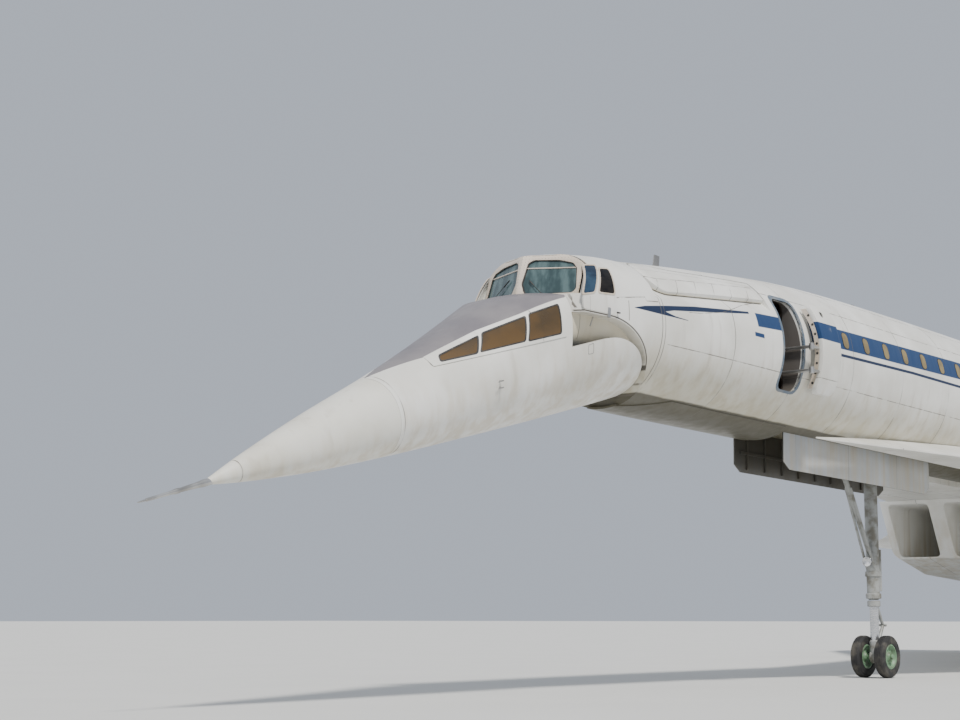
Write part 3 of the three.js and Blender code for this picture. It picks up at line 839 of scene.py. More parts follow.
    def tint(self, mask: Socket, base: object, over: object) -> Socket:
        """One colour laid over another by a mask.

        Args:
            mask: where the upper colour shows.
            base: the lower colour, as a socket or three numbers.
            over: the upper colour, as a socket or three numbers.

        Returns:
            The mixed colour.
        """
        node = self.tree.nodes.new("ShaderNodeMix")
        node.data_type = "RGBA"
        self.feed(node.inputs["Factor"], mask)
        for name, given in (("A", base), ("B", over)):
            socket = next(i for i in node.inputs if i.name == name and i.type == "RGBA")
            self.feed(socket, given if isinstance(given, bpy.types.NodeSocket) else (*given, 1.0))
        return next(o for o in node.outputs if o.type == "RGBA")

    def veil(self, mask: Socket, share: float, base: object, over: object) -> Socket:
        """One colour laid thinly over another, by a share of a mask."""
        return self.tint(self.times(mask, share), base, over)

    def dress(self, colour: Socket, rough: object, metal: float = 0.0, relief: Optional[Socket] = None,
              depth: float = 0.01) -> bpy.types.Material:
        """Set the surface from its finished values.

        Args:
            colour: the colour.
            rough: the roughness, as a socket or number.
            metal: how metallic it is.
            relief: a height from 0 to 1, if it has any.
            depth: what that height measures, in frame metres.

        Returns:
            The material.
        """
        self.feed(self.surface.inputs["Base Color"], colour)
        self.feed(self.surface.inputs["Roughness"], rough)
        self.surface.inputs["Metallic"].default_value = metal
        if relief is not None:
            bump = self.tree.nodes.new("ShaderNodeBump")
            bump.inputs["Distance"].default_value = depth
            bump.inputs["Strength"].default_value = 0.6
            self.feed(bump.inputs["Height"], relief)
            self.feed(self.surface.inputs["Normal"], bump.outputs[0])
        return self.material


class Finish:
    """What all finishes share: each makes its material once for each place it is used in."""

    name: str
    slot: Slot
    made: Dict[Tuple[str, str], bpy.types.Material] = {}

    def paint(self, shader: Shader) -> bpy.types.Material:
        """Build the material's nodes."""
        raise NotImplementedError

    def material(self, place: Matrix) -> bpy.types.Material:
        """The finish's material for pieces that were laid out by a matrix.

        Args:
            place: that matrix.

        Returns:
            The material, made on its first use.
        """
        key = (self.name, str([round(value, 4) for row in place for value in row]))
        if key not in Finish.made:
            Finish.made[key] = self.paint(Shader(self.name, place))
        return Finish.made[key]


@dataclass(frozen=True)
class WhitePaint(Finish):
    """Old white gloss paint: blotches, streaks that run down, dirt low down and panel seams."""

    name: str = "weathered_white"
    slot: Slot = Slot.WHITE
    clean: Colour = (0.84, 0.835, 0.80)
    dull: Colour = (0.70, 0.69, 0.64)
    dirt: Colour = (0.52, 0.42, 0.25)
    dirt_from: float = -1.6
    dirt_to: float = -0.2
    seam_pitch: float = 2.35
    seam_start: float = 0.0

    def seams(self, shader: Shader) -> Socket:
        """Joint lines between skin panels."""
        return shader.lines(shader.s, self.seam_pitch, 0.012, self.seam_start)

    def weathered(self, shader: Shader) -> Tuple[Socket, Socket]:
        """Paint with its weather on.

        Returns:
            The colour, and the streak noise for the roughness.
        """
        streak = shader.noise(1.0, 5.0, (5.0, 5.0, 0.4))
        colour = shader.tint(shader.step(shader.noise(0.8, 4.0), 0.35, 0.68), self.clean, self.dull)
        low = shader.fall(shader.h, self.dirt_from, self.dirt_to)
        grime = shader.both(low, shader.step(streak, 0.36, 0.66))
        colour = shader.veil(grime, 0.42, colour, self.dirt)
        stains = shader.both(shader.step(streak, 0.56, 0.72), shader.step(shader.noise(0.5), 0.45, 0.6))
        colour = shader.veil(stains, 0.25, colour, (0.34, 0.30, 0.24))
        return colour, streak

    def marked(self, shader: Shader, colour: Socket) -> Socket:
        """Stripes and colours over the white; plain white has none."""
        return colour

    def paint(self, shader: Shader) -> bpy.types.Material:
        """Build the material's nodes."""
        colour, streak = self.weathered(shader)
        colour = self.marked(shader, colour)
        seams = self.seams(shader)
        halo = shader.both(seams, shader.step(streak, 0.3, 0.6))
        colour = shader.veil(halo, 0.88, colour, (0.11, 0.095, 0.075))
        rough = shader.plus(shader.times(streak, 0.35), 0.22)
        grain = shader.times(shader.noise(3.0, 2.0), 0.12)
        return shader.dress(colour, rough, 0.0, shader.less(grain, seams), 0.004)


@dataclass(frozen=True)
class HullPaint(WhitePaint):
    """White paint with the blue stripes along the cabin, and a dark belly below the chine."""

    name: str = "fuselage_white"
    blue: Colour = (0.006, 0.038, 0.125)
    navy: Colour = (0.004, 0.016, 0.055)
    belly: Colour = (0.060, 0.053, 0.030)
    olive: Colour = (0.40, 0.36, 0.22)
    cream: Colour = (0.60, 0.51, 0.32)
    # The next three colours are painted shade: at the foot of the neck, on the doorway's cut walls and along
    # the recess's brim.
    slate: Colour = (0.07, 0.085, 0.105)
    brown: Colour = (0.055, 0.045, 0.04)
    shadow: Colour = (0.05, 0.042, 0.03)
    band_half: float = 0.215
    band_from: float = 15.42
    band_to: float = 58.0
    band_axis: Line = ((15.0, 0.25), (22.5, 0.40), (50.0, 0.40), (58.0, 0.62))
    line_axis: Line = ((15.0, -0.10), (20.0, 0.0), (50.0, 0.03), (58.0, 0.30))
    line_half: float = 0.032
    line_from: float = 15.6
    line_to: float = 57.0
    dart_top: Line = ((9.31, -0.21), (9.64, -0.13), (10.32, -0.02), (11.24, 0.11), (13.14, 0.31))
    dart_under: Line = (
        (9.32, -0.215), (10.25, -0.215), (10.27, -0.14), (10.54, -0.08), (11.55, 0.05), (13.14, 0.265))
    barb_top: Line = ((9.9, -0.13), (10.27, -0.14), (10.55, -0.185), (10.94, -0.203))
    barb_foot: float = -0.215
    sill_seam: Line = ((8.83, -0.11), (9.69, 0.04), (9.72, -0.03), (10.11, 0.02))
    blade_seam: Line = ((11.01, -0.04), (11.40, 0.0), (12.15, 0.14), (13.06, 0.43), (14.0, 0.68))
    panel_front: Line = ((-0.41, 7.93), (-0.17, 7.92), (0.45, 8.18))
    long_seams: Tuple[Span, ...] = ((0.86, 0.011), (-0.74, 0.011), (1.34, 0.010))
    arc_r: float = 1.455
    neck_rear: float = 10.14
    door_half: float = 1.57
    door_mid: float = -0.22
    door_high: float = 1.62

    def seams(self, shader: Shader) -> Socket:
        """Ring seams at every frame station, long seams along the cabin and those of the flight deck."""
        rings = shader.either(shader.lines(shader.s, self.seam_pitch, 0.014, self.neck_rear),
                              shader.line(shader.s, 10.23, 0.012))
        long = shader.either(*(shader.line(shader.h, h, width) for h, width in self.long_seams))
        long = shader.both(long, shader.step(shader.s, 10.3, 10.4))
        post = shader.both(shader.line(shader.s, 9.17, 0.012), shader.within(shader.h, -0.47, -0.11, 0.01))
        return shader.either(rings, long, post, self.neck_seams(shader),
                             self.drawn(shader, 0.013, self.sill_seam),
                             self.drawn(shader, 0.009, self.blade_seam))

    def drawn(self, shader: Shader, width: float, points: Line) -> Socket:
        """A thin line through points.

        Args:
            shader: the material that is being built.
            width: half the line's width.
            points: station and height of each corner, from front to rear.

        Returns:
            The line's mask.
        """
        height = shader.less(shader.h, shader.curve(shader.s, points))
        return shader.both(shader.line(height, 0.0, width),
                           shader.within(shader.s, points[0][0], points[-1][0], 0.01))

    def beyond_arc(self, shader: Shader) -> Socket:
        """Distance outside the round edge of the room that the raised nose takes."""
        along = shader.math("MAXIMUM", shader.less(shader.s, ROOM.round_s), 0.0)
        rise = shader.less(shader.h, ROOM.round_h)
        squares = shader.plus(shader.times(along, along), shader.times(rise, rise))
        return shader.less(shader.math("SQRT", squares), self.arc_r)

    def off_axis(self, shader: Shader) -> Socket:
        """Squared distance from the cabin axis beside the door: 1 on the skin and less inside it."""
        across = shader.math("DIVIDE", shader.y, self.door_half)
        up = shader.math("DIVIDE", shader.less(shader.h, self.door_mid), self.door_high)
        return shader.plus(shader.times(across, across), shader.times(up, up))

    def neck_seams(self, shader: Shader) -> Socket:
        """An upright seam on the neck and the front edge of the side panel."""
        upright = shader.both(shader.line(shader.s, 8.12, 0.010), shader.within(shader.h, -0.93, -0.19, 0.01))
        lean = shader.less(shader.s, shader.curve(shader.h, self.panel_front))
        front = shader.both(shader.line(lean, 0.0, 0.016), shader.within(shader.h, -0.41, 0.47, 0.01))
        return shader.either(upright, front)

    def stripe(self, shader: Shader, points: Line, half: float, ends: Span, soft: float) -> Socket:
        """A stripe of even height along a line.

        Args:
            shader: the material that is being built.
            points: station and height of each corner of its middle line.
            half: half its height.
            ends: the stations of its ends.
            soft: half the width of its upper and lower edges.

        Returns:
            The stripe's mask.
        """
        axis = shader.curve(shader.s, points)
        across = shader.within(shader.h, shader.less(axis, half), shader.plus(axis, half), soft)
        return shader.both(across, shader.within(shader.s, *ends, 0.008))

    def dart(self, shader: Shader) -> Socket:
        """The long barbed dart beside the flight deck."""
        top = shader.curve(shader.s, self.dart_top)
        under = shader.curve(shader.s, self.dart_under)
        shaft = shader.both(shader.within(shader.h, under, top, 0.006),
                            shader.within(shader.s, 9.33, 13.13, 0.006))
        back = shader.curve(shader.s, self.barb_top)
        barb = shader.both(shader.within(shader.h, self.barb_foot, back, 0.006),
                           shader.within(shader.s, self.barb_top[0][0], self.barb_top[-1][0], 0.006))
        return shader.either(shaft, barb)

    def small_marks(self, shader: Shader) -> Socket:
        """A patch and a short bar ahead of the front door."""
        lean = shader.less(shader.h, shader.times(shader.s, 0.05))
        patch = shader.both(shader.within(shader.s, 13.36, 14.24, 0.008),
                            shader.within(lean, -0.625, -0.345, 0.008))
        bar = shader.both(shader.within(shader.s, 13.2, 13.54, 0.008),
                          shader.within(shader.h, -0.17, -0.085, 0.008))
        return shader.either(patch, bar)

    def grounds(self, shader: Shader, colour: Socket) -> Socket:
        """Lay the belly, the neck with painted shade at its foot, painted shade in the doorway and a painted
        shadow on the recess's brim over the white.
        """
        edge = shader.plus(shader.h, shader.times(shader.noise(1.2, 4.0), 0.06))
        colour = shader.veil(shader.fall(edge, -1.55, -0.45), 0.55, colour, self.olive)
        colour = shader.veil(shader.fall(edge, -1.565, -1.535), 0.95, colour, self.belly)
        beyond = self.beyond_arc(shader)
        neck = shader.both(shader.fall(beyond, -0.01, 0.004),
                           shader.fall(shader.s, self.neck_rear - 0.04, self.neck_rear))
        colour = shader.veil(neck, 0.5, colour, self.cream)
        # Painted shade where the foot of the neck goes in under the nose's cheeks.
        colour = shader.veil(shader.both(neck, shader.fall(edge, -1.0, -0.76)), 0.8, colour, self.slate)
        # Painted shade: near-black brown on the cut walls inside the doorway.
        jamb = shader.both(shader.within(shader.s, 14.2, 15.15, 0.01), shader.fall(shader.y, -0.2, 0.0),
                           shader.fall(self.off_axis(shader), 0.93, 0.95))
        colour = shader.veil(jamb, 0.92, colour, self.brown)
        brim = shader.both(shader.line(beyond, 0.026, 0.022), shader.within(shader.s, 7.9, 10.16, 0.01),
                           shader.step(shader.h, -1.44, -1.40))
        return shader.veil(brim, 0.95, colour, self.shadow)

    def marked(self, shader: Shader, colour: Socket) -> Socket:
        """Lay the stripes and the belly over the white."""
        colour = self.grounds(shader, colour)
        worn = shader.step(shader.noise(5.0, 5.0, (1.0, 1.0, 0.4)), 0.12, 0.30)
        band = self.stripe(shader, self.band_axis, self.band_half, (self.band_from, self.band_to), 0.008)
        blues = shader.both(shader.either(band, self.small_marks(shader)), worn)
        colour = shader.tint(blues, colour, self.blue)
        thin = self.stripe(shader, self.line_axis, self.line_half, (self.line_from, self.line_to), 0.006)
        return shader.tint(shader.either(thin, self.dart(shader)), colour, self.navy)


@dataclass(frozen=True)
class NosePaint(WhitePaint):
    """White paint of the droop nose, with the dull dark panel ahead of the windscreen."""

    name: str = "nose_white"
    seam_pitch: float = 9.0
    seam_start: float = 3.76
    panel: Colour = (0.150, 0.138, 0.155)
    panel_faded: Colour = (0.205, 0.190, 0.200)
    panel_half: Line = ((3.68, 0.0), (4.98, 0.49), (6.44, 0.73), (7.89, 1.07))
    panel_from: float = 3.70

    def marked(self, shader: Shader, colour: Socket) -> Socket:
        """Lay the dull panel over the top of the nose."""
        half = shader.curve(shader.s, self.panel_half)
        side = shader.less(shader.math("ABSOLUTE", shader.y), half)
        dark = shader.both(shader.fall(side, -0.006, 0.006), shader.step(shader.h, -0.75, -0.70),
                           shader.step(shader.s, self.panel_from - 0.01, self.panel_from + 0.01))
        faded = shader.tint(shader.step(shader.noise(1.3, 4.0), 0.3, 0.7), self.panel, self.panel_faded)
        return shader.veil(dark, 0.97, colour, faded)


@dataclass(frozen=True)
class RadomePaint(WhitePaint):
    """Warmer, duller white of the nose cone, with its dust."""

    name: str = "radome_white"
    slot: Slot = Slot.RADOME
    clean: Colour = (0.77, 0.76, 0.70)
    dull: Colour = (0.66, 0.64, 0.56)
    dirt_from: float = -1.5
    dirt_to: float = -0.9
    seam_pitch: float = 9.0
    seam_start: float = 0.62


@dataclass(frozen=True)
class CanardPaint(WhitePaint):
    """White paint of a foreplane, with a seam along it, slanted ribs and painted shade along its outboard
    edge.
    """

    name: str = "canard_white"
    seam_pitch: float = 0.60
    seam_start: float = 10.62
    yellowed: Colour = (0.60, 0.50, 0.28)
    # Dark colour that paints the shade in the gap between the blade and its recess.
    gap: Colour = (0.08, 0.065, 0.045)
    spar: Line = ((10.53, -0.17), (12.29, -0.05), (14.1, 0.10))
    tilt_sine: float = 0.643
    tilt_cosine: float = 0.766
    hull_mid: float = -0.413
    seat_slope: float = 0.0892
    seat_at_nought: float = 0.324

    def across_and_up(self, shader: Shader, across: float, up: float) -> Tuple[Socket, Socket]:
        """Distance from the centre plane and height over the hull's middle, each times a factor."""
        side = shader.times(shader.math("ABSOLUTE", shader.y), across)
        return side, shader.times(shader.less(shader.h, self.hull_mid), up)

    def inboard(self, shader: Shader) -> Socket:
        """How far a point lies inboard of the blade's pivot line."""
        side, rise = self.across_and_up(shader, self.tilt_cosine, self.tilt_sine)
        return shader.less(rise, side)

    def off_seat(self, shader: Shader) -> Socket:
        """How far a point lies above the plane that the blade lies on."""
        side, rise = self.across_and_up(shader, self.tilt_sine, self.tilt_cosine)
        seat = shader.plus(shader.times(shader.s, self.seat_slope), self.seat_at_nought)
        return shader.less(shader.plus(side, rise), seat)

    def seams(self, shader: Shader) -> Socket:
        """The seam along the blade, its ribs and a faint line near its inboard edge."""
        across = self.inboard(shader)
        spar = shader.less(across, shader.curve(shader.s, self.spar))
        slant = shader.less(shader.s, shader.times(across, 0.7))
        ribs = shader.both(shader.lines(slant, self.seam_pitch, 0.011, self.seam_start),
                           shader.fall(spar, -0.01, 0.0))
        return shader.either(ribs, shader.line(spar, 0.0, 0.012), shader.line(across, 0.13, 0.006))

    def marked(self, shader: Shader, colour: Socket) -> Socket:
        """Lay the yellowed strip along the outboard edge, and painted shade at its foot, down in the gap."""
        off = self.off_seat(shader)
        colour = shader.veil(shader.fall(off, 0.02, 0.06), 0.5, colour, self.yellowed)
        # Painted shade at the foot of the outboard edge, down in the gap.
        return shader.veil(shader.fall(off, 0.018, 0.028), 0.9, colour, self.gap)


@dataclass(frozen=True)
class WingPaint(WhitePaint):
    """White paint of wings and tail, whose dirt is in blotches all over."""

    name: str = "wing_white"
    dirt_from: float = -3.6
    dirt_to: float = -1.5
    seam_pitch: float = 1.9
    seam_start: float = 0.4

    def seams(self, shader: Shader) -> Socket:
        """Seams across the chord and along the span."""
        across = shader.lines(shader.y, 1.5, 0.012, 0.6)
        return shader.either(shader.lines(shader.s, self.seam_pitch, 0.012, self.seam_start), across)


@dataclass(frozen=True)
class FinPaint(WhitePaint):
    """White paint of the fin, with its rib seams."""

    name: str = "fin_white"
    seam_pitch: float = 2.1

    def seams(self, shader: Shader) -> Socket:
        """Seams at every rib and along the spars."""
        ribs = shader.lines(shader.h, 1.35, 0.012, 0.3)
        return shader.either(shader.lines(shader.s, self.seam_pitch, 0.012, self.seam_start), ribs)


@dataclass(frozen=True)
class CreamPaint(WhitePaint):
    """Yellowed off-white of the windscreen frame and window frames."""

    name: str = "frame_cream"
    clean: Colour = (0.72, 0.64, 0.55)
    dull: Colour = (0.58, 0.50, 0.41)
    dirt_from: float = -0.2
    dirt_to: float = 0.3

    def seams(self, shader: Shader) -> Socket:
        """Rows of fine screw heads across the frame."""
        return shader.both(shader.lines(shader.h, 0.055, 0.007), shader.lines(shader.y, 0.055, 0.007))


@dataclass(frozen=True)
class PaintedSkin(Finish):
    """Plain paint of one colour with its wear, for gear, doors and linings."""

    name: str
    slot: Slot
    base: Colour
    worn: Colour
    fine: float = 3.0
    rough: float = 0.4
    metal: float = 0.0

    def paint(self, shader: Shader) -> bpy.types.Material:
        """Build the material's nodes."""
        cloud = shader.noise(self.fine, 5.0)
        colour = shader.tint(shader.step(cloud, 0.42, 0.66), self.base, self.worn)
        grain = shader.noise(self.fine * 9.0, 3.0)
        rough = shader.plus(shader.times(cloud, 0.3), self.rough - 0.1)
        return shader.dress(colour, rough, self.metal, grain, 0.001)


@dataclass(frozen=True)
class BrushedMetal(Finish):
    """Bare metal with grain along one direction and heat or soot along its length."""

    name: str
    slot: Slot
    base: Colour
    stain: Colour
    grain: Colour = (1.0, 1.0, 12.0)
    rings: float = 0.0
    rough: float = 0.32

    def paint(self, shader: Shader) -> bpy.types.Material:
        """Build the material's nodes."""
        brushed = shader.noise(6.0, 4.0, self.grain)
        patches = shader.step(shader.noise(1.6, 4.0), 0.38, 0.66)
        colour = shader.tint(patches, self.base, self.stain)
        relief = brushed
        if self.rings:
            ring = shader.lines(shader.s, self.rings, 0.016)
            colour = shader.tint(ring, colour, tuple(value * 0.3 for value in self.stain))
            relief = shader.less(shader.times(brushed, 0.4), ring)
        rough = shader.plus(shader.times(brushed, 0.3), self.rough - 0.12)
        return shader.dress(colour, rough, 0.85, relief, 0.002)


@dataclass(frozen=True)
class BrownPane(Finish):
    """Brown opaque pane of the nose windows, lighter and dustier towards its foot."""

    name: str = "brown_pane"
    slot: Slot = Slot.PANE

    def paint(self, shader: Shader) -> bpy.types.Material:
        """Build the material's nodes."""
        cloud = shader.noise(2.2, 4.0)
        colour = shader.tint(shader.step(cloud, 0.34, 0.68), (0.092, 0.054, 0.019), (0.058, 0.038, 0.017))
        dust = shader.fall(shader.h, -0.42, -0.05)
        colour = shader.veil(dust, 0.4, colour, (0.17, 0.10, 0.04))
        rough = shader.plus(shader.times(cloud, 0.25), 0.12)
        return shader.dress(colour, rough, 0.0, shader.noise(1.5, 2.0), 0.0015)


@dataclass(frozen=True)
class DarkGlass(Finish):
    """Glass that shows a dim cabin, with soft reflections of what is outside painted into its colour."""

    name: str
    slot: Slot
    deep: Colour
    bright: Colour
    shine: float = 0.5
    grain: Colour = (0.6, 0.6, 2.2)

    def paint(self, shader: Shader) -> bpy.types.Material:
        """Build the material's nodes."""
        soft = shader.noise(2.4, 3.0, self.grain)
        leafy = shader.noise(9.0, 5.0, (1.0, 1.0, 0.7))
        # Painted reflections: bright patches laid over the dark glass.
        painted_reflection = shader.step(shader.plus(soft, shader.times(leafy, 0.25)), 0.48, 0.78)
        colour = shader.tint(painted_reflection, self.deep, self.bright)
        shader.surface.inputs["Specular IOR Level"].default_value = self.shine
        shader.surface.inputs["Coat Weight"].default_value = self.shine
        shader.surface.inputs["Coat Roughness"].default_value = 0.03
        rough = shader.plus(shader.times(leafy, 0.12), 0.04)
        return shader.dress(colour, rough, 0.0, soft, 0.0008)


@dataclass(frozen=True)
class Rubber(Finish):
    """Black rubber with dust in its tread and dried mud on its walls."""

    name: str = "black_rubber"
    slot: Slot = Slot.TYRE

    def paint(self, shader: Shader) -> bpy.types.Material:
        """Build the material's nodes."""
        cloud = shader.noise(4.0, 5.0)
        colour = shader.tint(shader.step(cloud, 0.45, 0.72), (0.018, 0.018, 0.019), (0.085, 0.078, 0.066))
        rough = shader.plus(shader.times(cloud, 0.3), 0.6)
        return shader.dress(colour, rough, 0.0, shader.noise(30.0, 3.0), 0.0012)


WHITE = WhitePaint()
HULL_PAINT = HullPaint()
NOSE_PAINT = NosePaint()
RADOME_PAINT = RadomePaint()
CANARD_PAINT = CanardPaint()
WING_PAINT = WingPaint()
FIN_PAINT = FinPaint()
CREAM = CreamPaint()
PANE = BrownPane()
RUBBER = Rubber()
SEAL = PaintedSkin("dark_seal", Slot.PANE, (0.025, 0.024, 0.024), (0.06, 0.055, 0.05), 8.0, 0.6)
SCREEN_GLASS = DarkGlass("screen_glass", Slot.GLASS, (0.030, 0.058, 0.062), (0.095, 0.15, 0.155),
                         grain=(2.4, 2.4, 0.5))
BLUE_GLASS = DarkGlass("side_glass_blue", Slot.GLASS, (0.010, 0.024, 0.050), (0.03, 0.065, 0.11), 0.2)
BLACK_GLASS = DarkGlass("side_glass_black", Slot.GLASS, (0.004, 0.004, 0.005), (0.02, 0.018, 0.016), 0.1)
TAN_GLASS = PaintedSkin("cabin_window_tan", Slot.PANE, (0.27, 0.205, 0.085), (0.18, 0.135, 0.06), 2.0, 0.3)
JAMB = PaintedSkin("door_frame_blue_grey", Slot.PANE, (0.11, 0.15, 0.20), (0.20, 0.22, 0.24), 6.0, 0.45)
# Near-black brown that paints the shade inside the vestibule.
LINING = PaintedSkin("vestibule_brown", Slot.PANE, (0.060, 0.045, 0.035), (0.10, 0.075, 0.055), 2.5, 0.6)
STEEL = BrushedMetal("bare_steel_grey", Slot.STEEL, (0.55, 0.55, 0.54), (0.34, 0.33, 0.31))
CHROME = BrushedMetal("oleo_chrome", Slot.STEEL, (0.72, 0.72, 0.73), (0.6, 0.6, 0.6), (1, 1, 9), 0.0, 0.18)
NOZZLE_METAL = BrushedMetal("nozzle_heat", Slot.NOZZLE, (0.30, 0.25, 0.20), (0.13, 0.11, 0.11), (0.6, 9, 9),
                            0.47, 0.4)
ENGINE_METAL = BrushedMetal("engine_cast", Slot.ENGINE, (0.34, 0.34, 0.35), (0.2, 0.19, 0.18), (3, 3, 3))
GEAR_PAINT = PaintedSkin("gear_grey", Slot.GEAR, (0.34, 0.35, 0.34), (0.17, 0.16, 0.13), 4.0, 0.38)
WHEEL_PAINT = PaintedSkin("wheel_green", Slot.GEAR, (0.16, 0.30, 0.17), (0.12, 0.16, 0.10), 6.0, 0.42)
BAY_PAINT = PaintedSkin("bay_primer", Slot.GEAR, (0.24, 0.25, 0.20), (0.12, 0.11, 0.09), 2.0, 0.6)


def fit(piece: Piece, body: str, finish: Finish, place: Matrix, *nodes: str, angle: float = 28.0) -> None:
    """Smooth a piece, take it from its layout to the frame, dress it and seat it on its body.

    Args:
        piece: the piece, in its layout.
        body: the CAD body that it moves with.
        finish: what it is dressed in.
        place: the matrix from its layout to the frame.
        nodes: the CAD nodes that it stands for.
        angle: edges sharper than this many degrees stay sharp.
    """
    smoothed(piece, angle)
    placed(piece, place)
    piece.data.materials.clear()
    piece.data.materials.append(finish.material(place))
    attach(piece, body)
    if nodes:
        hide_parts(*nodes)
    log.info("%s rides on %s in %s", piece.name, body, finish.name)


def fit_pair(piece: Piece, body: str, finish: Finish, place: Matrix, node: str = "",
             angle: float = 28.0) -> None:
    """Fit a piece and its mirror image on the other side, the port one first.

    Args:
        piece: the piece, whose name says which side it is on.
        body: the CAD body of each; braces in it stand for the side.
        finish: what both are dressed in.
        place: the matrix from their layout to the frame.
        node: the CAD node that each stands for, if any; braces in it stand for the side.
        angle: edges sharper than this many degrees stay sharp.
    """
    here = Side.STARBOARD if Side.STARBOARD.label in piece.name else Side.PORT
    other = Side(-here.value)
    pair = {here: piece, other: mirrored(piece, piece.name.replace(here.label, other.label))}
    for side in Side:
        nodes = [node.format(side.label)] if node else []
        fit(pair[side], body.format(side.label), finish, place, *nodes, angle=angle)


@dataclass(frozen=True)
class NoseRoom:
    """The room that the raised droop nose takes: cheeks with a round end, and a top with a V edge."""

    sill: float = -0.585
    round_s: float = 8.66
    round_h: float = -1.94
    round_r: float = 1.355
    screen_s: float = 7.64
    screen_base: float = -0.02
    rake: float = 0.3
    sweep: float = 0.41
    half: float = 2.2

    def screen_at(self, h: float) -> float:
        """Station of the windscreen plane on the centre line at a height."""
        return self.screen_s + (h - self.screen_base) * self.rake

    def ahead(self, name: str, before: float, low: float, high: float, front: float = 1.0) -> Piece:
        """All that lies ahead of the windscreen plane, or of one that stands before it.

        Args:
            name: the tool's name.
            before: how far the plane stands before the windscreen.
            low: where the tool begins in height.
            high: where it ends.
            front: its front face.

        Returns:
            The V-shaped tool.
        """
        back = self.sweep * self.half
        points = [(front + back, low), (self.screen_at(low) - before + back, low),
                  (self.screen_at(high) - before + back, high), (front + back, high)]
        moves = [((-back, self.half, 0), (1, 1, 1), (0, 0, 0)), ((back, self.half, 0), (1, 1, 1), (0, 0, 0))]
        return swept(name, [(s, -self.half, h) for s, h in points], moves)

    def cheeks(self, name: str, gap: float) -> Piece:
        """The side slab with its round rear end, grown by a gap."""
        sill = self.sill + gap
        reach = self.round_r + gap
        arc = [(self.round_s + reach * math.sin(math.radians(turn)),
                self.round_h + reach * math.cos(math.radians(turn))) for turn in range(0, 91, 5)]
        points = [(3.4, -4.0), (3.4, sill), *arc, (self.round_s + reach, -4.0)]
        return plate(name, [(s, -2.1, h) for s, h in points], (0, 4.2, 0))

    def tool(self, name: str, cheek_gap: float, edge_gap: float) -> Piece:
        """The whole room as one body.

        Args:
            name: the tool's name.
            cheek_gap: how far the cheeks are grown.
            edge_gap: how far the plane of the V edge stands before the windscreen.

        Returns:
            The joined tool.
        """
        cheeks = self.cheeks(name, cheek_gap)
        return cut(cheeks, self.ahead("edge", edge_gap, self.sill - 0.2, 3.0), "UNION")


ROOM = NoseRoom()


